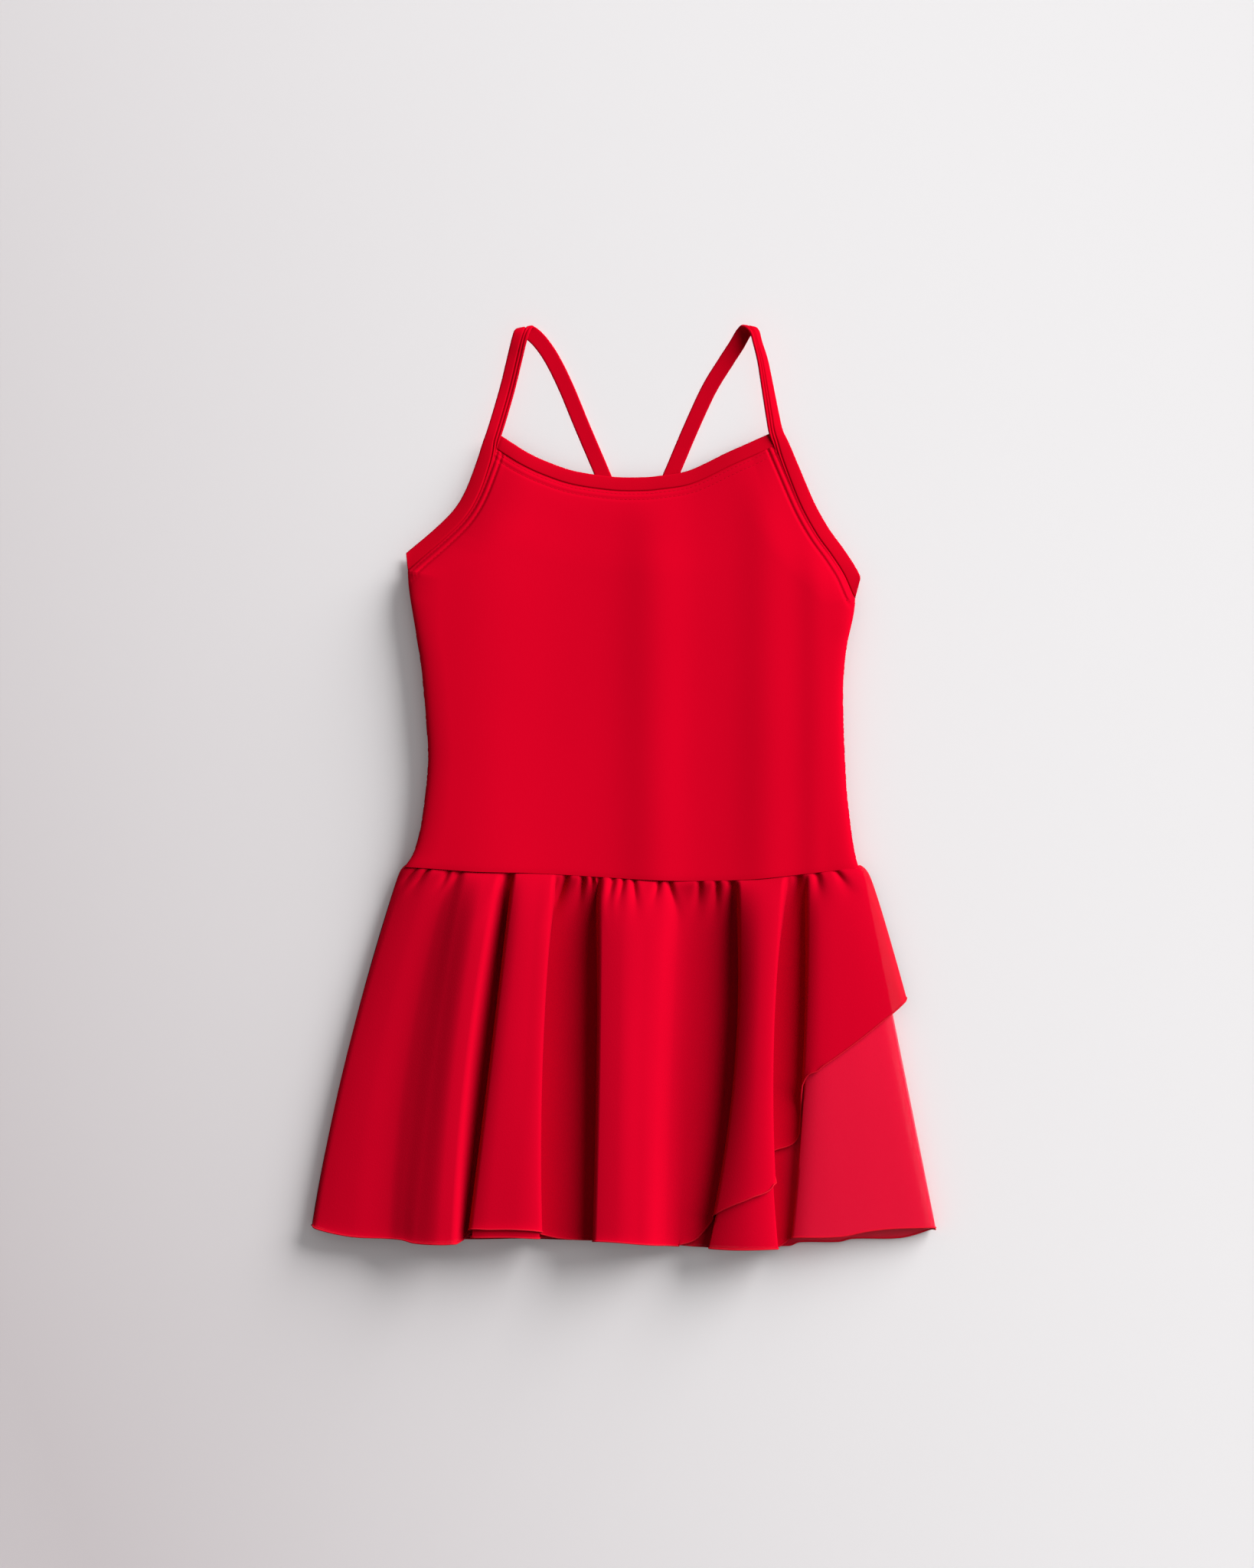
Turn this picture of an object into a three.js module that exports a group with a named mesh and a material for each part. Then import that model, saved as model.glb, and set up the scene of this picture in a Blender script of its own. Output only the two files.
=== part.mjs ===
// Camisole dance dress for a child, laid flat on its back and softly filled.
// A stretch bodice with turned bands carries a gathered skirt: a wrap with a slanting hem
// over an under layer at the front, and one layer at the back.
// Millimetres. X runs across, Y towards the straps, Z up from the surface it lies on.
// The origin is on that surface, under the middle of the dress.

import * as THREE from 'three';

// Cloth and seams
const SEAM_GAP = 0.3;
const JERSEY = 1.2;
const CHIFFON = 1.0;
const BAND = 1.8;
const BAND_WIDTH = 9.4;
const LAYER_STEP = 1.8;

// Form of the filled dress
const SIDE_SEAM_Z = 5;
const SIDE_ROLL = 15;
const ARMHOLE_ROLL = 30;
const BACK_ROLL = SIDE_SEAM_Z - SEAM_GAP / 2;
const FRONT_EDGE_Z = SIDE_SEAM_Z + SEAM_GAP / 2;
const ARMPIT_SHARE = 0.6;
const NECK_FADE = 0.24;

// Gathers at the waist seam
const PUFF = 2.3;
const PUFF_LENGTH = 2;
const FOLD_LENGTH = 13;
const PUCKER_DEPTH = 1.5;
const PUCKER_WIDTH = 3;
const PUCKER_LENGTH = 6;
const PUCKER_STEP = 3.6;
const NEAREST_STATIONS = 1;

// The wrap's free corner stands out past the layers beneath it
const CORNER_FLARE = 9;
const CORNER_START = 120;

// Waist seam, left to right
const WAIST = [
  { x: -132.4, y: -48.8 },
  { x: -115.8, y: -49.8 },
  { x: -90.3, y: -51.6 },
  { x: -53.2, y: -52.6 },
  { x: -6.9, y: -55.3 },
  { x: 16.2, y: -56.7 },
  { x: 39.4, y: -57.2 },
  { x: 76.4, y: -56.3 },
  { x: 108.8, y: -53.0 },
  { x: 141.7, y: -49.3 },
];

// Side seams of the bodice, from the waist up to each armpit
const LEFT_SIDE = [
  { y: -48.8, x: -132.4 },
  { y: -41.0, x: -127.3 },
  { y: -29.4, x: -123.6 },
  { y: -10.0, x: -120.4 },
  { y: 15.0, x: -118.2 },
  { y: 40.0, x: -119.4 },
  { y: 74.8, x: -122.7 },
  { y: 97.9, x: -126.4 },
  { y: 128.3, x: -130.3 },
];
const RIGHT_SIDE = [
  { y: -49.3, x: 141.7 },
  { y: -41.0, x: 139.4 },
  { y: -29.4, x: 137.5 },
  { y: -6.3, x: 134.7 },
  { y: 16.9, x: 133.3 },
  { y: 40.0, x: 132.4 },
  { y: 63.2, x: 132.4 },
  { y: 86.3, x: 134.7 },
  { y: 112.5, x: 139.4 },
];

// Height of the bodice's crown, from the waist up
const CROWN = [
  { y: -60, z: 12.5 },
  { y: 0, z: 13.2 },
  { y: 60, z: 14.6 },
  { y: 110, z: 16.2 },
  { y: 150, z: 15.4 },
  { y: 200, z: 13.5 },
];

// Strips of folded jersey. x, y, z is the middle of the outer face, turn the bearing of the
// line across it, and lean how far that line tips up, in degrees.
const LEFT_STRAP = [
  { x: -130.9, y: 134.7, z: 6.95, turn: -84, lean: 0 },
  { x: -124.5, y: 140.5, z: 7.2, turn: -55, lean: 10 },
  { x: -111.1, y: 152.1, z: 7.5, turn: -46, lean: 15 },
  { x: -99.4, y: 163.9, z: 7.8, turn: -40, lean: 15 },
  { x: -91.7, y: 176.4, z: 8.0, turn: -29, lean: 13 },
  { x: -84.8, y: 193.9, z: 8.2, turn: -20, lean: 9 },
  { x: -81.1, y: 205.0, z: 8.2, turn: -19, lean: 5 },
  { x: -78.5, y: 212.3, z: 8.0, turn: -18, lean: 3 },
  { x: -75.0, y: 223.4, z: 6.8, turn: -16, lean: 0 },
  { x: -70.3, y: 240.0, z: 5.6, turn: -14, lean: 0 },
  { x: -66.2, y: 256.7, z: 6.4, turn: -14, lean: 0 },
  { x: -63.4, y: 268.0, z: 8.0, turn: -14, lean: 0 },
  { x: -61.4, y: 274.4, z: 7.7, turn: -4, lean: 0 },
  { x: -59.8, y: 277.1, z: 4.4, turn: 11, lean: 0 },
  { x: -57.6, y: 275.0, z: 1.1, turn: 24, lean: 0 },
  { x: -50.2, y: 267.8, z: 0.4, turn: 36, lean: 0 },
  { x: -42.8, y: 256.7, z: 0.3, turn: 30, lean: 0 },
  { x: -34.7, y: 240.1, z: 0.3, turn: 25, lean: 0 },
  { x: -25.5, y: 217.8, z: 0.3, turn: 23, lean: 0 },
  { x: -13.7, y: 190.1, z: 0.3, turn: 23, lean: 0 },
  { x: -3.9, y: 166.6, z: 0.3, turn: 8, lean: 0 },
];
const RIGHT_STRAP = [
  { x: 141.0, y: 118.7, z: 6.95, turn: 75, lean: 0 },
  { x: 135.8, y: 130.0, z: 7.2, turn: 40, lean: -10 },
  { x: 128.4, y: 141.5, z: 7.5, turn: 34, lean: -15 },
  { x: 119.8, y: 153.4, z: 7.8, turn: 31, lean: -15 },
  { x: 111.0, y: 169.0, z: 8.0, turn: 28, lean: -13 },
  { x: 102.3, y: 188.9, z: 8.2, turn: 23, lean: -9 },
  { x: 95.6, y: 204.7, z: 8.2, turn: 21, lean: -5 },
  { x: 92.2, y: 213.2, z: 8.0, turn: 15, lean: -3 },
  { x: 89.8, y: 223.4, z: 6.8, turn: 11, lean: 0 },
  { x: 86.6, y: 240.0, z: 5.6, turn: 9, lean: 0 },
  { x: 84.0, y: 256.7, z: 6.4, turn: 10, lean: 4 },
  { x: 81.9, y: 268.0, z: 8.2, turn: 14, lean: 14 },
  { x: 79.0, y: 274.6, z: 8.2, turn: 6, lean: 24 },
  { x: 75.0, y: 277.8, z: 5.2, turn: -8, lean: 30 },
  { x: 71.6, y: 274.8, z: 2.2, turn: -22, lean: 22 },
  { x: 67.6, y: 266.2, z: 0.9, turn: -32, lean: 6 },
  { x: 61.8, y: 256.7, z: 0.3, turn: -31, lean: 0 },
  { x: 51.6, y: 240.1, z: 0.3, turn: -29, lean: 0 },
  { x: 41.2, y: 217.8, z: 0.3, turn: -24, lean: 0 },
  { x: 29.4, y: 190.1, z: 0.3, turn: -24, lean: 0 },
  { x: 19.2, y: 166.6, z: 0.3, turn: -8, lean: 0 },
];
const NECK_BAND = [
  { x: -73.8, y: 206.2, z: 8.9, turn: -104, lean: 4 },
  { x: -69.8, y: 203.0, z: 8.8, turn: -116, lean: 5 },
  { x: -60.0, y: 197.0, z: 8.5, turn: -116, lean: 8 },
  { x: -47.5, y: 191.2, z: 8.1, turn: -111, lean: 8 },
  { x: -30.3, y: 185.5, z: 7.7, turn: -103, lean: 8 },
  { x: -7.4, y: 182.1, z: 7.4, turn: -95, lean: 8 },
  { x: 9.3, y: 181.7, z: 7.3, turn: -90, lean: 8 },
  { x: 21.4, y: 182.6, z: 7.4, turn: -83, lean: 8 },
  { x: 40.5, y: 186.0, z: 7.7, turn: -75, lean: 8 },
  { x: 63.9, y: 196.9, z: 8.4, turn: -66, lean: 8 },
  { x: 76.6, y: 202.5, z: 8.8, turn: -64, lean: 5 },
  { x: 88.0, y: 208.2, z: 8.9, turn: -68, lean: 4 },
];
const BACK_BAND = [
  { x: -130.9, y: 134.5, z: 2.9, turn: 96, lean: 0 },
  { x: -128.4, y: 132.9, z: 1.0, turn: 80, lean: 0 },
  { x: -124.0, y: 130.6, z: 0, turn: 70, lean: 0 },
  { x: -112.0, y: 126.6, z: 0, turn: 77, lean: 0 },
  { x: -95.0, y: 124.4, z: 0, turn: 88, lean: 0 },
  { x: -70.0, y: 127.0, z: 0, turn: 103, lean: 0 },
  { x: -45.0, y: 137.0, z: 0, turn: 114, lean: 0 },
  { x: -22.0, y: 151.0, z: 0, turn: 117, lean: 0 },
  { x: -9.0, y: 157.6, z: 0, turn: 104, lean: 0 },
  { x: 8.0, y: 160.0, z: 0, turn: 90, lean: 0 },
  { x: 25.0, y: 157.6, z: 0, turn: 76, lean: 0 },
  { x: 38.0, y: 151.0, z: 0, turn: 64, lean: 0 },
  { x: 60.0, y: 137.0, z: 0, turn: 63, lean: 0 },
  { x: 85.0, y: 123.6, z: 0, turn: 68, lean: 0 },
  { x: 110.0, y: 115.6, z: 0, turn: 80, lean: 0 },
  { x: 132.0, y: 114.6, z: 0, turn: 96, lean: 0 },
  { x: 138.0, y: 116.6, z: 1.0, turn: 92, lean: 0 },
  { x: 140.8, y: 118.5, z: 2.9, turn: 76, lean: 0 },
];
const STRAP_NECK_ROW = { left: 5.75, right: 5.95 };

// Folds of the front skirt, left to right. seam, mid and hem are the fold's x at the waist
// seam, half way down and at the hem, end its y at the hem, midZ and hemZ its height there.
const FOLDS = [
  { seam: -130.6, mid: -162.5, hem: -184.3, end: -265.1, midZ: 5.15, hemZ: 5.15 },
  { seam: -126.9, mid: -159.8, hem: -181.5, end: -267.4, midZ: 7.8, hemZ: 7.6 },
  { seam: -115.8, mid: -147.2, hem: -163.4, end: -271.5, midZ: 10.8, hemZ: 10.6 },
  { seam: -104.2, mid: -128.3, hem: -138.9, end: -272.5, midZ: 12.6, hemZ: 12.2 },
  { seam: -99.1, mid: -119.9, hem: -130.6, end: -273.0, midZ: 12.2, hemZ: 11.4 },
  { seam: -94.0, mid: -112.8, hem: -126.0, end: -274.8, midZ: 16.0, hemZ: 15.5 },
  { seam: -83.3, mid: -97.0, hem: -108.2, end: -275.3, midZ: 21.5, hemZ: 20.5 },
  { seam: -74.1, mid: -87.4, hem: -99.2, end: -274.8, midZ: 18.5, hemZ: 17.5 },
  { seam: -70.9, mid: -84.8, hem: -97.4, end: -272.5, midZ: 5.6, hemZ: 5.6 },
  { seam: -67.6, mid: -79.8, hem: -93.2, end: -270.0, midZ: 5.6, hemZ: 5.6 },
  { seam: -65.0, mid: -76.8, hem: -91.0, end: -266.5, midZ: 15.5, hemZ: 16.0 },
  { seam: -54.2, mid: -62.0, hem: -71.5, end: -266.5, midZ: 22.0, hemZ: 23.0 },
  { seam: -43.6, mid: -49.8, hem: -50.2, end: -267.9, midZ: 19.5, hemZ: 21.5 },
  { seam: -40.5, mid: -47.8, hem: -48.4, end: -269.8, midZ: 7.4, hemZ: 7.4 },
  { seam: -32.4, mid: -36.0, hem: -36.5, end: -273.0, midZ: 5.8, hemZ: 5.6 },
  { seam: -18.8, mid: -18.0, hem: -19.6, end: -273.9, midZ: 5.2, hemZ: 5.2 },
  { seam: -13.4, mid: -14.4, hem: -16.6, end: -273.4, midZ: 16.5, hemZ: 17.0 },
  { seam: -1.4, mid: -1.0, hem: -3.6, end: -273.9, midZ: 22.5, hemZ: 23.0 },
  { seam: 19.4, mid: 18.0, hem: 14.2, end: -275.7, midZ: 21.5, hemZ: 20.5 },
  { seam: 41.7, mid: 42.0, hem: 36.0, end: -277.6, midZ: 13.0, hemZ: 10.0 },
  { seam: 57.9, mid: 58.5, hem: 47.8, end: -278.0, midZ: 7.0, hemZ: 6.4 },
  { seam: 65.3, mid: 66.2, hem: 53.0, end: -277.9, midZ: 5.2, hemZ: 5.2 },
  { seam: 70.0, mid: 69.2, hem: 56.2, end: -277.7, midZ: 17.0, hemZ: 15.5 },
  { seam: 84.0, mid: 80.6, hem: 74.0, end: -278.0, midZ: 23.5, hemZ: 22.5 },
  { seam: 95.0, mid: 89.8, hem: 86.5, end: -278.0, midZ: 20.0, hemZ: 18.0 },
  { seam: 99.6, mid: 92.4, hem: 92.0, end: -277.6, midZ: 8.0, hemZ: 10.5 },
  { seam: 107.0, mid: 104.4, hem: 99.6, end: -276.6, midZ: 5.4, hemZ: 6.4 },
  { seam: 112.0, mid: 110.0, hem: 106.0, end: -275.3, midZ: 12.0, hemZ: 10.5 },
  { seam: 125.0, mid: 127.3, hem: 131.0, end: -274.8, midZ: 15.0, hemZ: 13.5 },
  { seam: 134.5, mid: 147.5, hem: 160.0, end: -273.4, midZ: 11.5, hemZ: 10.5 },
  { seam: 139.6, mid: 161.0, hem: 181.0, end: -269.0, midZ: 8.6, hemZ: 8.6 },
  { seam: 141.7, mid: 163.9, hem: 185.7, end: -267.4, midZ: 5.15, hemZ: 5.15 },
];

// Where the wrap's hem leaves the skirt's own and rises to its free corner
const WRAP_HEM = [
  { seam: 45.0, y: -277.0 },
  { seam: 57.9, y: -274.0 },
  { seam: 65.3, y: -264.6 },
  { seam: 70.4, y: -257.7 },
  { seam: 80.0, y: -250.0 },
  { seam: 90.3, y: -244.2 },
  { seam: 101.9, y: -235.5 },
  { seam: 107.0, y: -214.6 },
  { seam: 112.0, y: -183.0 },
  { seam: 125.0, y: -161.4 },
  { seam: 134.5, y: -143.8 },
  { seam: 141.7, y: -128.0 },
];

// Hem of the under layer, seen below the wrap at the right, and of the back layer
const UNDER_HEM = [
  { seam: -130.6, y: -263.0 },
  { seam: -115.8, y: -269.5 },
  { seam: -94.0, y: -272.8 },
  { seam: -69.9, y: -271.5 },
  { seam: -54.2, y: -271.0 },
  { seam: -43.1, y: -272.0 },
  { seam: -18.8, y: -272.8 },
  { seam: 16.0, y: -274.0 },
  { seam: 41.7, y: -276.5 },
  { seam: 57.9, y: -277.6 },
  { seam: 70.4, y: -278.0 },
  { seam: 80.0, y: -278.4 },
  { seam: 90.3, y: -278.2 },
  { seam: 101.9, y: -277.6 },
  { seam: 105.0, y: -275.5 },
  { seam: 107.0, y: -273.4 },
  { seam: 112.0, y: -271.8 },
  { seam: 125.0, y: -271.1 },
  { seam: 130.0, y: -268.2 },
  { seam: 134.5, y: -266.6 },
  { seam: 139.6, y: -266.2 },
  { seam: 141.7, y: -266.6 },
];
const BACK_HEM = [
  { x: -186.0, y: -265.0 },
  { x: -170.0, y: -270.0 },
  { x: -150.0, y: -271.6 },
  { x: -120.0, y: -273.2 },
  { x: -90.0, y: -273.6 },
  { x: -60.0, y: -273.2 },
  { x: -30.0, y: -274.0 },
  { x: 0.0, y: -274.2 },
  { x: 40.0, y: -276.0 },
  { x: 60.0, y: -277.4 },
  { x: 100.0, y: -277.6 },
  { x: 106.0, y: -275.5 },
  { x: 130.0, y: -275.2 },
  { x: 138.0, y: -273.4 },
  { x: 162.0, y: -273.2 },
  { x: 172.0, y: -272.0 },
  { x: 186.0, y: -267.6 },
];

// Small gathers along the waist seam
const PUCKERS = [
  -123.6, -117.1, -105.1, -99.1, -69.9, -34.3, -24.5, -18.8, -6.5, 0, 6, 21.3, 27.3,
  45.8, 56, 65.3, 107, 115.8, 127.3,
];

// How far up the skirt each row of the mesh lies, 0 at the hem and 1 at the seam. The first
// rows lie in the narrow rolled hem, which stands proud of the cloth.
const SKIRT_LEVELS = [0, 0.005, 0.0065, 0.16, 0.33, 0.5, 0.65, 0.78, 0.88, 0.94, 0.975, 0.99, 1];
const HEM_ROWS = 2;
const HEM_ROLL = 0.45;

const RED_JERSEY = new THREE.MeshStandardMaterial({ color: 0xc4001c, roughness: 0.72, metalness: 0 });
const RED_BAND = new THREE.MeshStandardMaterial({ color: 0xb80018, roughness: 0.7, metalness: 0 });
const RED_CHIFFON = new THREE.MeshStandardMaterial({ color: 0xd60022, roughness: 0.8, metalness: 0 });

const clamp = THREE.MathUtils.clamp;
const lerp = THREE.MathUtils.lerp;

// A smooth curve through one column of a table, looked up by another column
function curve(rows, order, column) {
  const knots = rows.map((row) => row[order]);
  const values = rows.map((row) => row[column]);
  const last = knots.length - 1;
  const slopes = knots.map((_, i) => {
    const before = Math.max(i - 1, 0);
    const after = Math.min(i + 1, last);
    return (values[after] - values[before]) / (knots[after] - knots[before]);
  });
  return (at) => {
    const place = clamp(at, knots[0], knots[last]);
    const next = clamp(knots.findIndex((knot) => knot >= place), 1, last);
    const width = knots[next] - knots[next - 1];
    const t = (place - knots[next - 1]) / width;
    const rise = t * t * (3 - 2 * t);
    const leave = t * (1 - t) * (1 - t) * width * slopes[next - 1];
    const arrive = t * t * (1 - t) * width * slopes[next];
    return lerp(values[next - 1], values[next], rise) + leave - arrive;
  };
}

// Parabola through a value at the start, the middle and the end
function throughThree(start, middle, end, t) {
  return start * (1 - t) * (1 - 2 * t) + middle * 4 * t * (1 - t) + end * t * (2 * t - 1);
}

function evenly(count, from = 0, to = 1) {
  return Array.from({ length: count + 1 }, (_, i) => lerp(from, to, i / count));
}

// A closed solid between two offsets of a grid of points. Columns run left to right and rows
// towards +Y; facing is 1 when the cloth's outer face looks up and -1 when it looks down.
function clothSolid(grid, { outer = 0, inner, facing = 1, hemRoll = 0, trueNormal = (normal) => normal }) {
  const columns = grid.length;
  const rows = grid[0].length;
  const positions = [];
  const normalAt = (i, j) => {
    const across = grid[Math.min(i + 1, columns - 1)][j].clone().sub(grid[Math.max(i - 1, 0)][j]);
    const along = grid[i][Math.min(j + 1, rows - 1)].clone().sub(grid[i][Math.max(j - 1, 0)]);
    const normal = across.cross(along).normalize().multiplyScalar(facing);
    return trueNormal(normal, i, j).normalize();
  };
  for (const offset of [outer, inner]) {
    for (let i = 0; i < columns; i += 1) {
      for (let j = 0; j < rows; j += 1) {
        const rolled = offset === outer && j < HEM_ROWS ? hemRoll : 0;
        const point = grid[i][j].clone().addScaledVector(normalAt(i, j), offset + rolled);
        positions.push(point.x, point.y, point.z);
      }
    }
  }
  const at = (layer, i, j) => (layer * columns + i) * rows + j;
  const indices = [];
  const quad = (a, b, c, d) => {
    const corners = facing > 0 ? [a, b, c, a, c, d] : [a, c, b, a, d, c];
    indices.push(...corners);
  };
  for (let i = 0; i < columns - 1; i += 1) {
    for (let j = 0; j < rows - 1; j += 1) {
      quad(at(0, i, j), at(0, i + 1, j), at(0, i + 1, j + 1), at(0, i, j + 1));
      quad(at(1, i, j), at(1, i, j + 1), at(1, i + 1, j + 1), at(1, i + 1, j));
    }
  }
  for (let i = 0; i < columns - 1; i += 1) {
    quad(at(0, i, 0), at(1, i, 0), at(1, i + 1, 0), at(0, i + 1, 0));
    quad(at(0, i, rows - 1), at(0, i + 1, rows - 1), at(1, i + 1, rows - 1), at(1, i, rows - 1));
  }
  for (let j = 0; j < rows - 1; j += 1) {
    quad(at(0, 0, j), at(0, 0, j + 1), at(1, 0, j + 1), at(1, 0, j));
    quad(at(0, columns - 1, j), at(1, columns - 1, j), at(1, columns - 1, j + 1), at(0, columns - 1, j + 1));
  }
  const geometry = new THREE.BufferGeometry();
  geometry.setAttribute('position', new THREE.Float32BufferAttribute(positions, 3));
  geometry.setIndex(indices);
  geometry.computeVertexNormals();
  return geometry;
}

// A flat strip: its middle line and the half width across it, by row number of its table
function strip(table) {
  const rows = table.map((row, index) => ({ ...row, index }));
  const [x, y, z, turn, lean] = ['x', 'y', 'z', 'turn', 'lean'].map((name) => curve(rows, 'index', name));
  const middle = (at) => new THREE.Vector3(x(at), y(at), z(at));
  const across = (at) => {
    const bearing = THREE.MathUtils.degToRad(turn(at));
    const tip = THREE.MathUtils.degToRad(lean(at));
    const step = 0.05;
    const along = middle(at + step).sub(middle(at - step)).normalize();
    const line = new THREE.Vector3(
      Math.cos(bearing) * Math.cos(tip),
      Math.sin(bearing) * Math.cos(tip),
      Math.sin(tip),
    );
    const slant = Math.sqrt(1 - line.dot(along) ** 2);
    return line.multiplyScalar(BAND_WIDTH / 2 / Math.max(slant, 0.7));
  };
  const edge = (at, side, clear = 0) =>
    middle(at).addScaledVector(across(at), side * (1 + (2 * clear) / BAND_WIDTH));
  return { end: rows.length - 1, edge };
}

function stripSolid(band, stations) {
  const grid = [-1, 1].map((side) => stations.map((at) => band.edge(at, side)));
  return clothSolid(grid, { outer: 0, inner: -BAND });
}

const leftStrap = strip(LEFT_STRAP);
const rightStrap = strip(RIGHT_STRAP);
const neckBand = strip(NECK_BAND);
const backBand = strip(BACK_BAND);

const waistY = curve(WAIST, 'x', 'y');
const leftSideX = curve(LEFT_SIDE, 'y', 'x');
const rightSideX = curve(RIGHT_SIDE, 'y', 'x');
const crownZ = curve(CROWN, 'y', 'z');
const armpitY = { left: LEFT_SIDE.at(-1).y, right: RIGHT_SIDE.at(-1).y };
const waistX = { left: WAIST[0].x, right: WAIST.at(-1).x };

// Rise of a rolled edge, 0 on the edge to 1 where the roll ends: upright at the edge where
// power is a half, sloping where it is 1
function roll(distance, width, power = 0.5) {
  const left = 1 - clamp(distance / width, 0, 1);
  return (1 - left * left) ** power;
}

// Stations across the bodice, close together where its sides roll over
const BODICE_COLUMNS = [0, 0.4, 1.6, 3.6, 6.6, 10.5, 16, 23, 32, 41, 50].map((percent) => percent / 100);
const bodiceAcross = [...BODICE_COLUMNS, ...BODICE_COLUMNS.slice(0, -1).reverse().map((u) => 1 - u)];
const sideLevels = evenly(10);
const armholeLevels = evenly(8).slice(1);

// Left or right border of the front panel: the side seam, then along the armhole band
function frontBorder(side, level) {
  const strap = side === 'left' ? leftStrap : rightStrap;
  const inwards = side === 'left' ? 1 : -1;
  if (level > 1) {
    return strap.edge((level - 1) * STRAP_NECK_ROW[side], inwards, SEAM_GAP);
  }
  const armpit = strap.edge(0, inwards, SEAM_GAP);
  const bottom = waistY(waistX[side]) + SEAM_GAP / 2;
  const y = lerp(bottom, armpit.y, level);
  const sideX = side === 'left' ? leftSideX : rightSideX;
  const nearArmpit = clamp((level - 0.8) / 0.2, 0, 1) ** 2;
  const x = lerp(sideX(y), armpit.x, nearArmpit);
  return new THREE.Vector3(x, y, lerp(FRONT_EDGE_Z, armpit.z, nearArmpit));
}

// Top border of the front panel, along the neck band, fitted to both armhole borders
function frontTop(u) {
  const point = neckBand.edge(u * neckBand.end, 1, SEAM_GAP);
  const leftMiss = frontBorder('left', 2).sub(neckBand.edge(0, 1, SEAM_GAP));
  const rightMiss = frontBorder('right', 2).sub(neckBand.edge(neckBand.end, 1, SEAM_GAP));
  const leftShare = clamp(1 - u / 0.1, 0, 1);
  const rightShare = clamp(1 - (1 - u) / 0.1, 0, 1);
  return point.addScaledVector(leftMiss, leftShare).addScaledVector(rightMiss, rightShare);
}

function waistPoint(u) {
  const x = lerp(waistX.left, waistX.right, u);
  return new THREE.Vector3(x, waistY(x) + SEAM_GAP / 2, FRONT_EDGE_Z);
}

// A point of the front panel: level 0 at the waist, 1 at the armpits, 2 at the neck band
function frontPoint(u, level) {
  const v = level < 1 ? level * ARMPIT_SHARE : lerp(ARMPIT_SHARE, 1, level - 1);
  const left = frontBorder('left', level);
  const right = frontBorder('right', level);
  const between = left.clone().lerp(right, u);
  const topBow = frontTop(u).sub(frontTop(0).lerp(frontTop(1), u));
  const bottomBow = waistPoint(u).sub(waistPoint(0).lerp(waistPoint(1), u));
  const point = between.addScaledVector(topBow, v).addScaledVector(bottomBow, 1 - v);
  const nearTop = (1 - clamp((1 - v) / NECK_FADE, 0, 1)) ** 2;
  const edgeZ = lerp(left.z, right.z, u) + topBow.z * nearTop;
  const power = lerp(0.5, 1, clamp((level - 0.9) * 2, 0, 1));
  const width = lerp(SIDE_ROLL, ARMHOLE_ROLL, clamp((level - 0.8) * 2, 0, 1));
  const sides = roll(point.x - left.x, width, power) * roll(right.x - point.x, width, power);
  point.z = lerp(edgeZ, crownZ(point.y), sides * (1 - nearTop));
  return point;
}

function bodiceFront() {
  const levels = [...sideLevels, ...armholeLevels.map((level) => 1 + level)];
  const grid = bodiceAcross.map((u) => levels.map((level) => frontPoint(u, level)));
  return clothSolid(grid, {
    inner: -JERSEY,
    trueNormal: (normal, i, j) => {
      if (j === 0) normal.y = 0;
      const onSide = i === 0 || i === bodiceAcross.length - 1;
      return onSide && levels[j] < 0.8 ? normal.set(Math.sign(i - 1), 0, 0) : normal;
    },
  });
}

// Height of the flat back where it turns up at a side seam
function backZ(distance) {
  const inside = clamp(BACK_ROLL - distance, 0, BACK_ROLL);
  return BACK_ROLL - Math.sqrt(BACK_ROLL * BACK_ROLL - inside * inside);
}

// Stations across a back panel: on the turned-up sides by distance, then even
const BACK_TURN = [0, 0.5, 1.6, 3.2, BACK_ROLL];
function backAcross(left, right, even) {
  const middle = evenly(even, left + BACK_ROLL, right - BACK_ROLL).slice(1, -1);
  const lefts = BACK_TURN.map((distance) => left + distance);
  const rights = BACK_TURN.map((distance) => right - distance).reverse();
  return [...lefts, ...middle, ...rights];
}

const backBandStations = evenly(34, 0, backBand.end);

function backPanelNormal(normal, i, j, columns) {
  if (i === 0 || i === columns - 1) return normal.set(i === 0 ? -1 : 1, 0, 0);
  return normal.setY(0);
}

// The back panel's columns end one by one on the stations of the back band
function bodiceBack() {
  const levels = evenly(9);
  const grid = backBandStations.map((at) => {
    const top = backBand.edge(at, -1, SEAM_GAP);
    const u = clamp((top.x - leftSideX(top.y)) / (rightSideX(top.y) - leftSideX(top.y)), 0, 1);
    const foot = lerp(waistX.left, waistX.right, u);
    return levels.map((level) => {
      const y = lerp(waistY(foot) + SEAM_GAP / 2, top.y, level);
      const x = lerp(leftSideX(y), rightSideX(y), u);
      return new THREE.Vector3(x, y, backZ(Math.min(x - leftSideX(y), rightSideX(y) - x)));
    });
  });
  return clothSolid(grid, {
    inner: -JERSEY,
    facing: -1,
    trueNormal: (normal, i, j) => backPanelNormal(normal, i, j, grid.length),
  });
}

const fold = Object.fromEntries(
  ['mid', 'hem', 'end', 'midZ', 'hemZ'].map((name) => [name, curve(FOLDS, 'seam', name)]),
);
const seamStart = FOLDS[0].seam;
const seamEnd = FOLDS.at(-1).seam;
const wrapHemY = curve(WRAP_HEM, 'seam', 'y');
const underHemY = curve(UNDER_HEM, 'seam', 'y');
const backHemY = curve(BACK_HEM, 'x', 'y');

// How deep the gathers press in at one place along the seam
function pucker(seam) {
  return PUCKERS.reduce((depth, x) => Math.max(depth, Math.exp(-(((seam - x) / PUCKER_WIDTH) ** 2))), 0);
}

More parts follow.
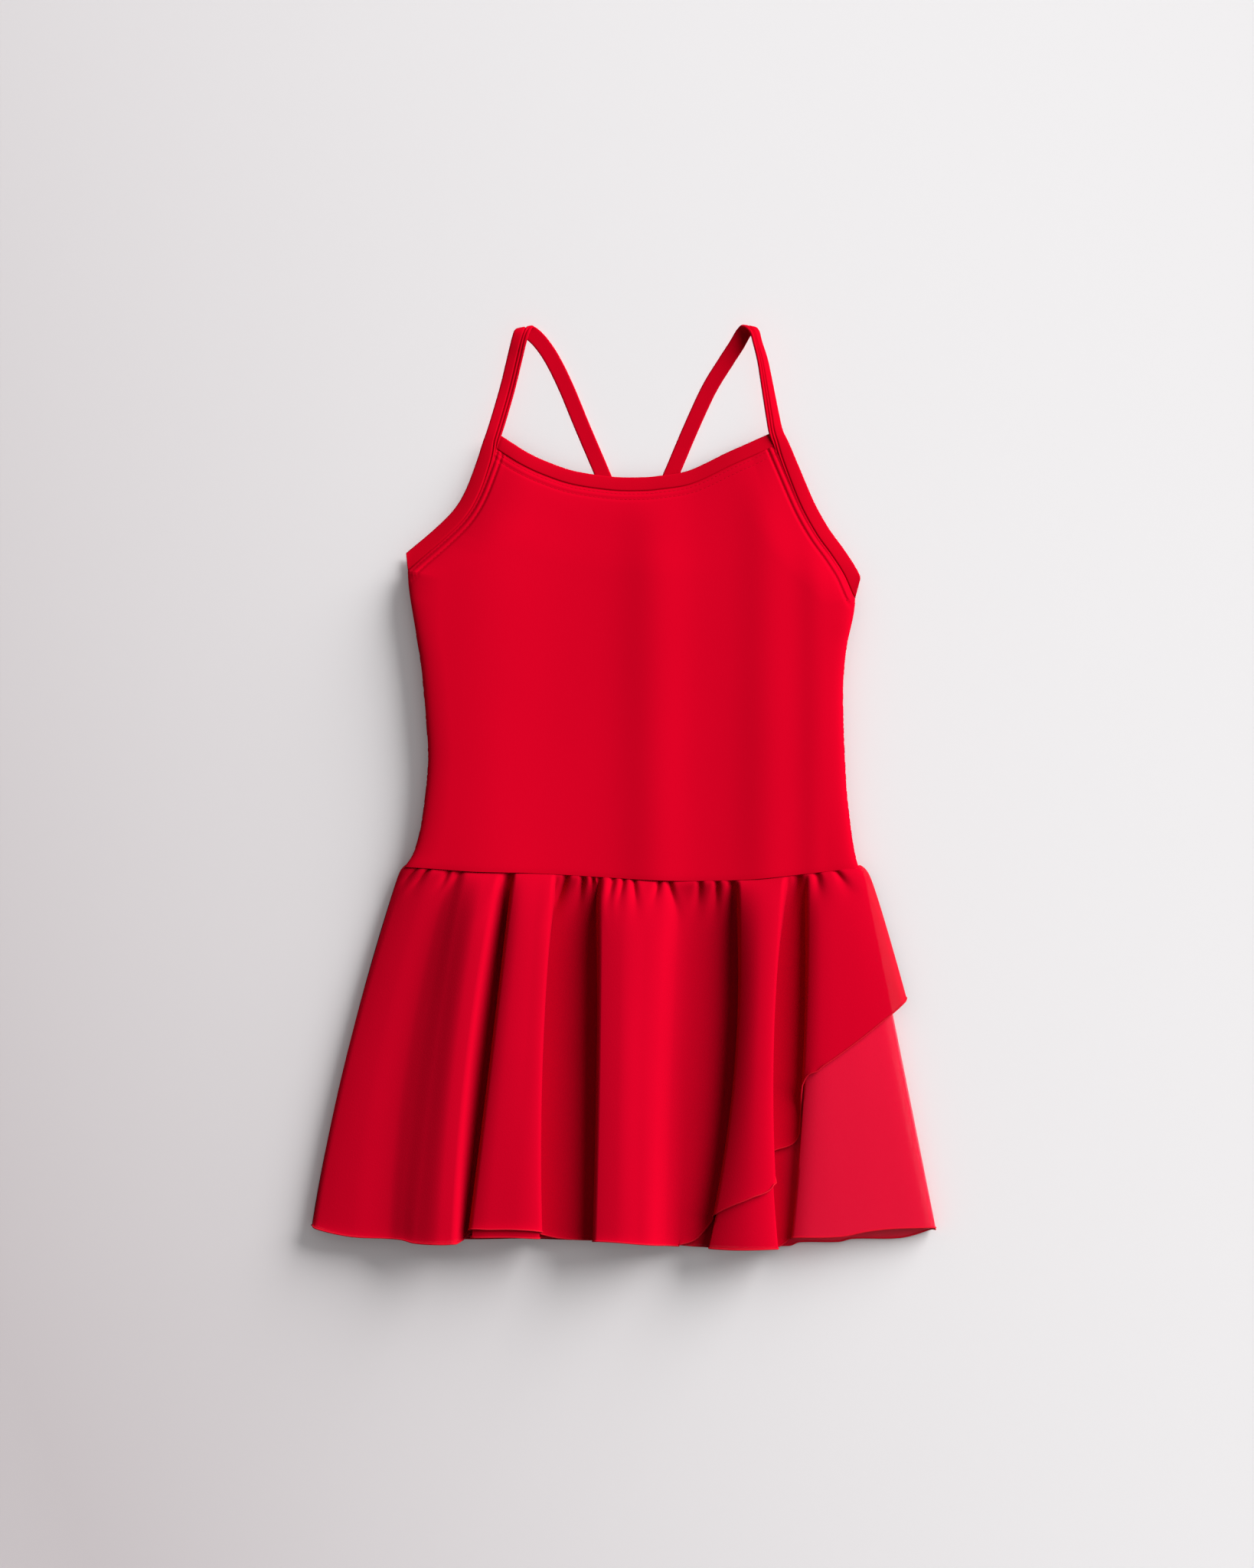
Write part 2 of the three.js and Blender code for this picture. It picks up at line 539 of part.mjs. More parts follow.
// Outer face of the under layer: seam is where its fold leaves the waist, down 0 there and 1
// at the hem
function skirtPoint(seam, down, end = fold.end(seam)) {
  const top = waistY(seam) - SEAM_GAP / 2;
  const y = lerp(top, end, down);
  const drop = top - y;
  const outwards = (2 * (seam - seamStart)) / (seamEnd - seamStart) - 1;
  const puff = PUFF * (1 - Math.exp(-drop / PUFF_LENGTH));
  const x = throughThree(seam, fold.mid(seam), fold.hem(seam), down) + puff * outwards ** 7;
  const sides = roll(seam - seamStart, SIDE_ROLL) * roll(seamEnd - seam, SIDE_ROLL);
  const waistZ = lerp(FRONT_EDGE_Z, crownZ(top) - LAYER_STEP, sides);
  const bodyZ = lerp(fold.midZ(seam), fold.hemZ(seam), clamp(2 * down - 1, 0, 1));
  const grown = 1 - Math.exp(-drop / FOLD_LENGTH);
  const dent = PUCKER_DEPTH * pucker(seam) * Math.exp(-drop / PUCKER_LENGTH) * sides;
  return new THREE.Vector3(x, y, lerp(waistZ, bodyZ, grown) + puff * 0.5 * sides * (1 - grown) - dent);
}

// Stations along the seam: one in each gather, one on each row of the folds, and enough
// between them
function seamStations(step) {
  const folds = FOLDS.map((row) => row.seam);
  const gathers = PUCKERS.filter((x) => folds.every((seam) => Math.abs(seam - x) > NEAREST_STATIONS));
  const stops = [...folds, ...gathers].sort((a, b) => a - b);
  const stations = [seamStart];
  for (let i = 1; i < stops.length; i += 1) {
    const count = Math.max(1, Math.round((stops[i] - stops[i - 1]) / step));
    stations.push(...evenly(count, stops[i - 1], stops[i]).slice(1));
  }
  return stations;
}

function skirtNormal(normal, i, j, columns, rows) {
  if (i === 0 || i === columns - 1) return normal.set(i === 0 ? -1 : 1, 0, 0);
  if (j === rows - 1) normal.y = 0;
  return normal;
}

function skirtSolid(stations, place, outer) {
  const grid = stations.map((seam) => SKIRT_LEVELS.map((level) => place(seam, 1 - level)));
  return clothSolid(grid, {
    outer,
    inner: outer - CHIFFON,
    hemRoll: HEM_ROLL,
    trueNormal: (normal, i, j) => skirtNormal(normal, i, j, stations.length, SKIRT_LEVELS.length),
  });
}

function wrapPoint(seam, down) {
  const top = waistY(seam) - SEAM_GAP / 2;
  const wrapEnd = Math.max(wrapHemY(seam), fold.end(seam));
  const share = seam < WRAP_HEM[0].seam ? 1 : (top - wrapEnd) / (top - fold.end(seam));
  const point = skirtPoint(seam, down * share);
  const corner = clamp((seam - CORNER_START) / (seamEnd - CORNER_START), 0, 1);
  point.x += CORNER_FLARE * corner * down ** 0.6;
  return point;
}

function underPoint(seam, down) {
  return skirtPoint(seam, down, underHemY(seam));
}

function skirtWrap() {
  return skirtSolid(seamStations(PUCKER_STEP), wrapPoint, LAYER_STEP);
}

function skirtUnder() {
  return skirtSolid(seamStations(PUCKER_STEP), underPoint, 0);
}

// One flat layer whose sides turn up to meet the front at the side seams
function skirtBack() {
  const even = 10;
  const columns = even + 2 * BACK_TURN.length - 1;
  const place = (index, down) => {
    const left = skirtPoint(seamStart, down).x - LAYER_STEP;
    const right = skirtPoint(seamEnd, down).x;
    const x = backAcross(left, right, even)[index];
    const top = waistY(clamp(x, waistX.left, waistX.right)) - SEAM_GAP / 2;
    const y = lerp(top, backHemY(x), down);
    return new THREE.Vector3(x, y, backZ(Math.min(x - left, right - x)));
  };
  const grid = Array.from({ length: columns }, (_, index) => SKIRT_LEVELS.map((level) => place(index, 1 - level)));
  return clothSolid(grid, {
    inner: -CHIFFON,
    facing: -1,
    trueNormal: (normal, i, j) => backPanelNormal(normal, i, j, columns),
  });
}

function strapStations(strap, neckRow) {
  const armhole = [0, ...armholeLevels].map((level) => level * neckRow);
  return [...armhole, ...evenly(36, neckRow, strap.end).slice(1)];
}

function piece(name, geometry, material) {
  const mesh = new THREE.Mesh(geometry, material);
  mesh.name = name;
  return mesh;
}

const dress = new THREE.Group();
dress.name = 'dance_dress';
dress.add(
  piece('bodice_front', bodiceFront(), RED_JERSEY),
  piece('bodice_back', bodiceBack(), RED_JERSEY),
  piece('neck_binding', stripSolid(neckBand, bodiceAcross.map((u) => u * neckBand.end)), RED_BAND),
  piece('back_binding', stripSolid(backBand, backBandStations), RED_BAND),
  piece('strap_left', stripSolid(leftStrap, strapStations(leftStrap, STRAP_NECK_ROW.left)), RED_BAND),
  piece('strap_right', stripSolid(rightStrap, strapStations(rightStrap, STRAP_NECK_ROW.right)), RED_BAND),
  piece('skirt_wrap', skirtWrap(), RED_CHIFFON),
  piece('skirt_under', skirtUnder(), RED_CHIFFON),
  piece('skirt_back', skirtBack(), RED_CHIFFON),
);

export default dress;
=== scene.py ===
import bpy
import numpy as np
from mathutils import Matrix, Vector


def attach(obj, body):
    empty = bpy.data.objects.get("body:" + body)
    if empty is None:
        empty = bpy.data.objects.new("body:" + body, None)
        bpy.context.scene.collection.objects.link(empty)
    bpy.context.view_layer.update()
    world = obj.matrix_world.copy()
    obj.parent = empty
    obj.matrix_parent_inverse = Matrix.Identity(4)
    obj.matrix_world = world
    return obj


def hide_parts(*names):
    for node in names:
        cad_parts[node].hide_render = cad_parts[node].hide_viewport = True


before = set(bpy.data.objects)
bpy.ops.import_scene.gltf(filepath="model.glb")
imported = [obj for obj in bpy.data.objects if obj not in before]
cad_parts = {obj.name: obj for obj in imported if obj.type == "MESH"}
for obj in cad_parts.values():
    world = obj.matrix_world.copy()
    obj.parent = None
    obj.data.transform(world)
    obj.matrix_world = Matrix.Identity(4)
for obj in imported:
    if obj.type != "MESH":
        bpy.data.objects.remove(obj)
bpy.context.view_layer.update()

# Straps
# Each is one strip of jersey folded to a flat band and stitched twice along its length. It
# binds the armhole, runs up as the strap, folds over at the shoulder and goes down behind.

MM = 0.001
BAND = 1.6
BAND_WIDTH = 9.4
BAND_GROOVE = 0.8
BAND_GROOVE_WIDTH = 0.085
BAND_PILLOW = 0.25
BAND_SQUARENESS = 12
BAND_RING = 76
BAND_STEPS = 300
STRIP_STEP = 0.05
LEAST_SLANT = 0.7
END_SHARE = 0.0001
WELD = 0.00001
SPECULAR = 0.004
SHEEN_TINT = (1, 0.02, 0.08, 1)
BAND_RED = (0.46, 0.0005, 0.0100, 1)
BAND_RED_WORN = (0.36, 0.0004, 0.008, 1)


def columns(names, *rows):
    """A short table, each of its named columns as an array."""
    return dict(zip(names.split(), np.array(rows, float).T))


def curve(table, order, column, swells=True):
    """A smooth curve through one column of a table, looked up by another column. One that
    doesn't swell never rises above the higher of two neighbouring rows."""
    knots, values = table[order], table[column]
    last = len(knots) - 1
    before = np.maximum(np.arange(last + 1) - 1, 0)
    after = np.minimum(np.arange(last + 1) + 1, last)
    slopes = (values[after] - values[before]) / (knots[after] - knots[before])
    if not swells:
        steps = np.diff(values) / np.diff(knots)
        gentler = np.minimum(np.abs(steps[:-1]), np.abs(steps[1:]))
        limit = 2 * gentler * (steps[:-1] * steps[1:] > 0)
        slopes[1:-1] = np.clip(slopes[1:-1], -limit, limit)

    def at(place):
        place = np.clip(place, knots[0], knots[-1])
        right = np.clip(np.searchsorted(knots, place), 1, last)
        left = right - 1
        width = knots[right] - knots[left]
        t = (place - knots[left]) / width
        rise = t * t * (3 - 2 * t)
        leave = t * (1 - t) ** 2 * width * slopes[left]
        arrive = t * t * (1 - t) * width * slopes[right]
        return values[left] + (values[right] - values[left]) * rise + leave - arrive

    return at


def unit(vectors):
    """Vectors brought to length 1."""
    return vectors / np.maximum(np.linalg.norm(vectors, axis=-1, keepdims=True), 1e-9)


def mix(start, end, share):
    """Between two values, or two sets of points."""
    share = np.asarray(share, float)
    if np.ndim(start) > share.ndim:
        share = share[..., None]
    return start + (end - start) * share


class Strip:
    """A flat strip, told by rows of x, y, z, turn and lean: the middle of its outer face, the
    bearing of the line across it and how far that line tips up, both in degrees. A place
    along it is counted in rows."""

    def __init__(self, *rows):
        table = columns("x y z turn lean", *rows)
        table["row"] = np.arange(len(rows), dtype=float)
        self.last = len(rows) - 1
        self.curves = [curve(table, "row", name) for name in ("x", "y", "z", "turn", "lean")]

    def middle(self, at):
        return np.stack([line(at) for line in self.curves[:3]], -1)

    def along(self, at):
        return unit(self.middle(at + STRIP_STEP) - self.middle(at - STRIP_STEP))

    def across(self, at):
        """From the middle to the edge on the side that turn points to."""
        bearing, tip = (np.radians(line(at)) for line in self.curves[3:])
        level = np.cos(tip)
        line = np.stack([np.cos(bearing) * level, np.sin(bearing) * level, np.sin(tip)], -1)
        slant = np.sqrt(np.maximum(1 - (line * self.along(at)).sum(-1) ** 2, 0))
        return line * (BAND_WIDTH / 2 / np.maximum(slant, LEAST_SLANT))[..., None]

    def edge(self, at, side, clear=0.0):
        """Part of the way across, -1 to 1 from edge to edge, or clear of an edge."""
        share = np.asarray(side * (1 + 2 * clear / BAND_WIDTH) + 0 * at)
        return self.middle(at) + self.across(at) * share[..., None]

    def out(self, at):
        return unit(np.cross(self.across(at), self.along(at)))


LEFT_STRAP = Strip(
    (-130.9, 134.7, 6.95, -84, 0),
    (-124.5, 140.5, 7.2, -55, 10),
    (-111.1, 152.1, 7.5, -46, 15),
    (-99.4, 163.9, 7.8, -40, 15),
    (-91.7, 176.4, 8.0, -29, 13),
    (-84.8, 193.9, 8.2, -20, 9),
    (-81.1, 205.0, 8.2, -19, 5),
    (-78.5, 212.3, 8.0, -18, 3),
    (-75.0, 223.4, 6.8, -16, 0),
    (-70.3, 240.0, 5.6, -14, 0),
    (-66.2, 256.7, 6.4, -14, 0),
    (-63.4, 268.0, 8.0, -14, 0),
    (-61.4, 274.4, 7.7, -4, 0),
    (-59.8, 277.1, 4.4, 11, 0),
    (-57.6, 275.0, 1.1, 24, 0),
    (-50.2, 267.8, 0.4, 36, 0),
    (-42.8, 256.7, 0.3, 30, 0),
    (-34.7, 240.1, 0.3, 25, 0),
    (-25.5, 217.8, 0.3, 23, 0),
    (-13.7, 190.1, 0.3, 23, 0),
    (-3.9, 166.6, 0.3, 8, 0),
)
RIGHT_STRAP = Strip(
    (141.0, 118.7, 6.95, 75, 0),
    (135.8, 130.0, 7.2, 40, -10),
    (128.4, 141.5, 7.5, 34, -15),
    (119.8, 153.4, 7.8, 31, -15),
    (111.0, 169.0, 8.0, 28, -13),
    (102.3, 188.9, 8.2, 23, -9),
    (95.6, 204.7, 8.2, 21, -8),
    (92.0, 213.2, 8.2, 15, -18),
    (90.0, 223.4, 7.6, 11, -28),
    (87.2, 240.0, 7.0, 9, -38),
    (84.2, 256.7, 7.6, 10, -47),
    (81.2, 267.4, 8.6, 12, -54),
    (79.2, 274.2, 8.6, 4, -50),
    (75.4, 277.6, 6.2, -8, -30),
    (72.2, 273.8, 3.0, -24, -12),
    (67.9, 266.2, 1.2, -32, -4),
    (61.8, 256.7, 0.3, -31, 0),
    (51.6, 240.1, 0.3, -29, 0),
    (41.2, 217.8, 0.3, -24, 0),
    (29.4, 190.1, 0.3, -24, 0),
    (19.2, 166.6, 0.3, -8, 0),
)

# How many rows up each strap the neck band meets it
STRAP_NECK_ROW = {"left": 6.0, "right": 6.2}

# Where the two stitched grooves lie across a strap, by row of the strap: 0 is its middle, 1
# the edge by the bodice, and past 1 there is none
STRAP_GROOVES = columns(
    "row first second",
    (0, 0.86, 1.3),
    (4.2, 0.84, 1.3),
    (5.6, 0.62, 0.98),
    (6.6, 0.3, 0.68),
    (10, 0.22, 0.6),
    (12.5, 0.2, 0.62),
    (13.6, 0.0, 1.4),
    (20, 0.0, 1.4),
)


def form(name, across, along, place):
    """A grid shaped by place(u, v), which gives points in millimetres: u runs from 0 to 1
    left to right and v from 0 to 1 towards the straps, with the outer face up."""
    bpy.ops.object.select_all(action="DESELECT")
    bpy.ops.mesh.primitive_grid_add(x_subdivisions=across, y_subdivisions=along, size=2)
    piece = bpy.context.object
    piece.name = piece.data.name = name
    flat = np.empty(len(piece.data.vertices) * 3, np.float32)
    piece.data.vertices.foreach_get("co", flat)
    u, v = ((flat.reshape(-1, 3)[:, :2].astype(float) + 1) / 2).T
    points = place(np.clip(u, 0, 1), np.clip(v, 0, 1)) * MM
    piece.data.vertices.foreach_set("co", points.astype(np.float32).ravel())
    piece.data.update()
    return piece


def close_tube(piece):
    """Joins the two long edges of a rolled grid, closes its ends and turns it outwards."""
    bpy.ops.object.mode_set(mode="EDIT")
    bpy.ops.mesh.select_all(action="SELECT")
    bpy.ops.mesh.remove_doubles(threshold=WELD)
    bpy.ops.mesh.fill_holes(sides=0)
    bpy.ops.mesh.normals_make_consistent(inside=False)
    bpy.ops.object.mode_set(mode="OBJECT")
    bpy.ops.object.shade_smooth()


def groove(distance, width):
    """Depth of a soft groove, 1 in its middle."""
    return np.exp(-((distance / width) ** 2))


def band_place(strip, side, grooves, reach=0.0):
    """Where the points of a folded band lie: u goes round it and v along it. It may reach a
    little beyond both its ends, under what crosses it there."""
    first = curve(grooves, "row", "first")
    second = curve(grooves, "row", "second")

    def place(u, v):
        at = v * strip.last
        beyond = reach * ((v > 1 - END_SHARE) * 1.0 - (v < END_SHARE))
        across = np.abs(4 * u - 2) - 1
        upper_half = np.where(u < 0.5, 1, -1)
        rise = upper_half * np.sqrt(np.clip(1 - across**BAND_SQUARENESS, 0, 1))
        stitched = groove(across * side - first(at), BAND_GROOVE_WIDTH)
        stitched = stitched + groove(across * side - second(at), BAND_GROOVE_WIDTH)
        height = BAND * (rise - 1) / 2 - BAND_GROOVE * stitched * (rise > 0)
        pillow = BAND_PILLOW * (1 - across**2) * (rise > 0)
        middle = strip.edge(at, across) + strip.along(at) * beyond[..., None]
        return middle + strip.out(at) * (height + pillow)[..., None]

    return place


class Value:
    """A socket that gives a value. Sums, products and powers of it add Math nodes."""

    def __init__(self, dye, socket):
        self.dye = dye
        self.socket = socket

    def maths(self, operation, first, second):
        return self.dye.node("ShaderNodeMath", {"operation": operation}, {0: first, 1: second})

    def __add__(self, other):
        return self.maths("ADD", self, other)

    def __mul__(self, other):
        return self.maths("MULTIPLY", self, other)

    def __pow__(self, other):
        return self.maths("POWER", self, other)

    __radd__ = __add__
    __rmul__ = __mul__


class Dye:
    """A cloth's material while its nodes are put together."""

    def __init__(self, name):
        self.material = bpy.data.materials.new(name)
        self.material.use_nodes = True
        self.tree = self.material.node_tree
        self.tree.nodes.clear()

    def node(self, kind, settings, sockets, out=0):
        """Adds a node, makes its settings, fills its sockets and gives one of its outputs."""
        node = self.tree.nodes.new(kind)
        for name, value in settings.items():
            setattr(node, name, value)
        for name, value in sockets.items():
            if isinstance(value, Value):
                self.tree.links.new(value.socket, node.inputs[name])
            else:
                node.inputs[name].default_value = value
        return Value(self, node.outputs[out])

    def place(self):
        return self.node("ShaderNodeTexCoord", {}, {}, "Object")

    def noise(self, size_mm, detail, stretch=(1, 1, 1)):
        """Soft random cloudiness, its patches about size_mm across."""
        scale = tuple(share / (size_mm * MM) for share in stretch)
        spot = self.node("ShaderNodeMapping", {}, {"Vector": self.place(), "Scale": scale})
        sockets = {"Vector": spot, "Scale": 1.0, "Detail": detail}
        return self.node("ShaderNodeTexNoise", {}, sockets)

    def blend(self, share, first, second):
        """A colour between two colours."""
        settings = {"data_type": "RGBA", "blend_type": "MIX"}
        return self.node("ShaderNodeMix", settings, {0: share, 6: first, 7: second}, 2)

    def bump(self, height, depth_mm, strength):
        sockets = {"Height": height, "Distance": depth_mm * MM, "Strength": strength}
        return self.node("ShaderNodeBump", {}, sockets)

    def finish(self, **sockets):
        """The cloth's own shader and its output."""
        named = {name.replace("_", " "): value for name, value in sockets.items()}
        surface = self.node("ShaderNodeBsdfPrincipled", {}, named)
        output = self.tree.nodes.new("ShaderNodeOutputMaterial")
        self.tree.links.new(surface.socket, output.inputs["Surface"])
        return self.material


def strap_dye():
    """Jersey band: a close, smooth knit, its tone varying a little at random."""
    dye = Dye("band_jersey")
    cloud = dye.noise(24, 2)
    knit = dye.noise(0.55, 2, (1, 0.6, 1))
    shade = cloud * 0.5 + knit * 0.25
    colour = dye.blend(shade, BAND_RED, BAND_RED_WORN)
    return dye.finish(
        Base_Color=colour,
        Roughness=0.78,
        Specular_IOR_Level=SPECULAR,
        Sheen_Weight=0.05,
        Sheen_Roughness=0.5,
        Sheen_Tint=SHEEN_TINT,
        Normal=dye.bump(knit, 0.12, 0.35),
    )


BAND_CLOTH = strap_dye()
for side, strap, inwards in (("left", LEFT_STRAP, 1), ("right", RIGHT_STRAP, -1)):
    strap_place = band_place(strap, inwards, STRAP_GROOVES)
    band = form(f"strap_band_{side}", BAND_RING, BAND_STEPS, strap_place)
    close_tube(band)
    band.data.materials.append(BAND_CLOTH)
    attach(band, "root")
    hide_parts(f"strap_{side}")

# Neck binding
# A jersey band folded over the raw edge of the scooped neckline and held by twin stitching.

NECK_BAND = Strip(
    (-73.8, 205.6, 7.5, -108, 4),
    (-69.8, 203.0, 7.9, -116, 5),
    (-60.0, 197.0, 8.5, -116, 8),
    (-47.5, 191.2, 8.1, -111, 8),
    (-30.3, 185.5, 7.7, -103, 8),
    (-7.4, 182.1, 7.4, -95, 8),
    (9.3, 181.7, 7.3, -90, 8),
    (21.4, 182.6, 7.4, -83, 8),
    (40.5, 186.0, 7.7, -75, 8),
    (63.9, 196.9, 8.4, -66, 8),
    (76.6, 202.5, 8.2, -64, 5),
    (88.0, 207.6, 7.5, -66, 4),
)
NECK_STEPS = 200
NECK_REACH = 4.5
PLAIN_GROOVES = columns("row first second", (0, 0.84, 1.5), (30, 0.84, 1.5))

neck_place = band_place(NECK_BAND, 1, PLAIN_GROOVES, NECK_REACH)
neck_band = form("neck_band", BAND_RING, NECK_STEPS, neck_place)
close_tube(neck_band)
neck_band.data.materials.append(BAND_CLOTH)
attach(neck_band, "root")
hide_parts("neck_binding")

# Back binding
# The same band along the top of the back, rising in the middle to where the straps end.

BACK_BAND = Strip(
    (-130.9, 134.5, 2.9, 96, 0),
    (-128.4, 132.9, 1.0, 80, 0),
    (-124.0, 130.6, 0, 70, 0),
    (-112.0, 126.6, 0, 77, 0),
    (-95.0, 124.4, 0, 88, 0),
    (-70.0, 127.0, 0, 103, 0),
    (-45.0, 137.0, 0, 114, 0),
    (-22.0, 151.0, 0, 117, 0),
    (-9.0, 157.6, 0, 104, 0),
    (8.0, 160.0, 0, 90, 0),
    (25.0, 157.6, 0, 76, 0),
    (38.0, 151.0, 0, 64, 0),
    (60.0, 137.0, 0, 63, 0),
    (85.0, 123.6, 0, 68, 0),
    (110.0, 115.6, 0, 80, 0),
    (132.0, 114.6, 0, 96, 0),
    (138.0, 116.6, 1.0, 92, 0),
    (140.8, 118.5, 2.9, 76, 0),
)
BACK_BAND_STEPS = 260

back_band = form("back_band", BAND_RING, BACK_BAND_STEPS, band_place(BACK_BAND, -1, PLAIN_GROOVES))
close_tube(back_band)
back_band.data.materials.append(BAND_CLOTH)
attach(back_band, "root")
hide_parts("back_binding")

# Bodice front
# One panel of matt stretch jersey, softly crowned, its sides rolling over to the side seams.
# It is sewn to the bands at the armholes and neck and to the skirt at the dropped waist.

JERSEY = 0.8
SEAM_GAP = 0.3
SIDE_SEAM_Z = 5
FRONT_EDGE_Z = SIDE_SEAM_Z + SEAM_GAP / 2
SIDE_ROLL = 15
SIDE_POWER = 0.18
ARMHOLE_ROLL = 30
ARMPIT_SHARE = 0.6
ARMPIT_FADE = 0.2
FULL_SIDES_TO = 0.9
ROLL_BLEND = 0.5
NECK_FADE = 0.24
NECK_FIT = 0.1
TUCK = 0.7
TUCK_WIDTH = 0.7
WAIST_TUCK = 0.35
WAIST_TUCK_REACH = 1.3
SIDE_CROWDING = 0.7
SMOOTH_ANGLE = 55
FRONT_MESH = (220, 190)
JERSEY_RED = (0.505, 0.0003, 0.0125, 1)
JERSEY_DEEP = (0.435, 0.0003, 0.0105, 1)

WAIST = columns(
    "x y",
    (-132.4, -48.8),
    (-115.8, -49.8),
    (-90.3, -51.6),
    (-53.2, -52.6),
    (-6.9, -55.3),
    (16.2, -56.7),
    (39.4, -57.2),
    (76.4, -56.3),
    (108.8, -53.0),
    (141.7, -49.3),
)
LEFT_SIDE = columns(
    "y x",
    (-48.8, -132.4),
    (-41.0, -127.3),
    (-29.4, -123.6),
    (-10.0, -120.4),
    (15.0, -118.2),
    (40.0, -119.4),
    (74.8, -122.7),
    (97.9, -126.4),
    (128.3, -130.3),
)
RIGHT_SIDE = columns(
    "y x",
    (-49.3, 141.7),
    (-41.0, 139.4),
    (-29.4, 137.5),
    (-6.3, 134.7),
    (16.9, 133.3),
    (40.0, 132.4),
    (63.2, 132.4),
    (86.3, 134.7),
    (112.5, 139.4),
)
CROWN = columns("y z", (-60, 12.5), (0, 13.2), (60, 13.6), (110, 13.2), (150, 12.0), (200, 10.5))

# Soft waves of the laid panel: where each ridge runs, how high and how wide it is
BODICE_WAVES = (
    {"x": -86, "z": 2.3, "width": 34},
    {"x": 18, "z": 2.1, "width": 17},
    {"x": 86, "z": 1.6, "width": 15},
    {"x": 115, "z": 0.6, "width": 8},
)

waist_y = curve(WAIST, "x", "y")
crown_z = curve(CROWN, "y", "z")
side_x = {"left": curve(LEFT_SIDE, "y", "x"), "right": curve(RIGHT_SIDE, "y", "x")}
waist_x = {"left": WAIST["x"][0], "right": WAIST["x"][-1]}


def roll(distance, width, power=0.5):
    """Rise of a rolled edge, 0 on the edge to 1 where the roll ends."""
    left = 1 - np.clip(distance / width, 0, 1)
    return np.maximum(1 - left * left, 0) ** power


def front_border(side, level):
    """The side seam up to level 1, then the armhole band's edge up to level 2."""
    strap = LEFT_STRAP if side == "left" else RIGHT_STRAP
    inwards = 1 if side == "left" else -1
    clear = -TUCK
    armhole = strap.edge(np.maximum(level - 1, 0) * STRAP_NECK_ROW[side], inwards, clear)
    armpit = strap.edge(np.zeros(1), inwards, clear)[0]
    y = mix(waist_y(waist_x[side]), armpit[1], level)
    near_armpit = np.clip((level - 1 + ARMPIT_FADE) / ARMPIT_FADE, 0, 1) ** 2
    x = mix(side_x[side](y), armpit[0], near_armpit)
    z = mix(FRONT_EDGE_Z, armpit[2], near_armpit)
    return np.where((level > 1)[..., None], armhole, np.stack([x, y, z], -1))


def front_top(u):
    """The neck band's lower edge, fitted to both armhole borders."""
    neck_level = np.full(1, 2.0)
    point = NECK_BAND.edge(u * NECK_BAND.last, 1, -TUCK)
    left_miss = front_border("left", neck_level)[0] - NECK_BAND.edge(np.zeros(1), 1, -TUCK)[0]
    right_end = np.full(1, float(NECK_BAND.last))
    right_miss = front_border("right", neck_level)[0] - NECK_BAND.edge(right_end, 1, -TUCK)[0]
    left_share = np.clip(1 - u / NECK_FIT, 0, 1)[..., None]
    right_share = np.clip(1 - (1 - u) / NECK_FIT, 0, 1)[..., None]
    return point + left_miss * left_share + right_miss * right_share


def waist_point(u):
    x = mix(waist_x["left"], waist_x["right"], u)
    return np.stack([x, waist_y(x), np.full_like(x, FRONT_EDGE_Z)], -1)


def front_point(u, level):
    """A point of the front panel: level 0 at the waist, 1 at the armpits, 2 at the neck."""
    v = np.where(level < 1, level * ARMPIT_SHARE, mix(ARMPIT_SHARE, 1, level - 1))
    left, right = front_border("left", level), front_border("right", level)
    ends = np.zeros_like(u), np.ones_like(u)
    top_bow = front_top(u) - mix(front_top(ends[0]), front_top(ends[1]), u)
    low_bow = waist_point(u) - mix(waist_point(ends[0]), waist_point(ends[1]), u)
    point = mix(left, right, u) + top_bow * v[..., None] + low_bow * (1 - v)[..., None]
    near_top = (1 - np.clip((1 - v) / NECK_FADE, 0, 1)) ** 2
    edge_z = mix(left[..., 2], right[..., 2], u) + top_bow[..., 2] * near_top
    power = mix(SIDE_POWER, 1, np.clip((level - FULL_SIDES_TO) / ROLL_BLEND, 0, 1))
    widening = np.clip((level - 1 + ARMPIT_FADE) / ROLL_BLEND, 0, 1)
    width = mix(SIDE_ROLL, ARMHOLE_ROLL, widening)
    sides = roll(point[..., 0] - left[..., 0], width, power)
    sides = sides * roll(right[..., 0] - point[..., 0], width, power)
    point[..., 2] = mix(edge_z, crown_z(point[..., 1]), sides * (1 - near_top))
    waves = sum(w["z"] * groove(point[..., 0] - w["x"], w["width"]) for w in BODICE_WAVES)
    point[..., 2] += waves * sides * (1 - near_top)
    return point


def spread(t, crowding):
    """Moves evenly spaced stations closer together towards both ends."""
    return mix(t, (1 - np.cos(np.pi * t)) / 2, crowding)


def distance_to(points, line):
    """How far each point lies from a line of points, seen from above."""
    nearest = np.full(len(points), 1e9)
    for start, end in zip(line[:-1, :2], line[1:, :2]):
        step = end - start
        share = ((points[:, :2] - start) @ step) / max(step @ step, 1e-9)
        foot = start + np.clip(share, 0, 1)[:, None] * step
        nearest = np.minimum(nearest, np.linalg.norm(points[:, :2] - foot, axis=1))
    return nearest


# Twin stitching: how far its two rows lie from the band, and how deep they draw the jersey in
STITCH_ROWS = (0.9, 4.3)
STITCH_GROOVES = {"neck": 0.3, "left": 0.75, "right": 0.75}
STITCH_GROOVE_WIDTH = 0.8
ARMHOLE_POINTS = 60
NECK_POINTS = 90
armhole_levels = np.linspace(1, 2, ARMHOLE_POINTS)
band_lines = {side: front_border(side, armhole_levels) for side in ("left", "right")}
band_lines["neck"] = front_top(np.linspace(0, 1, NECK_POINTS))


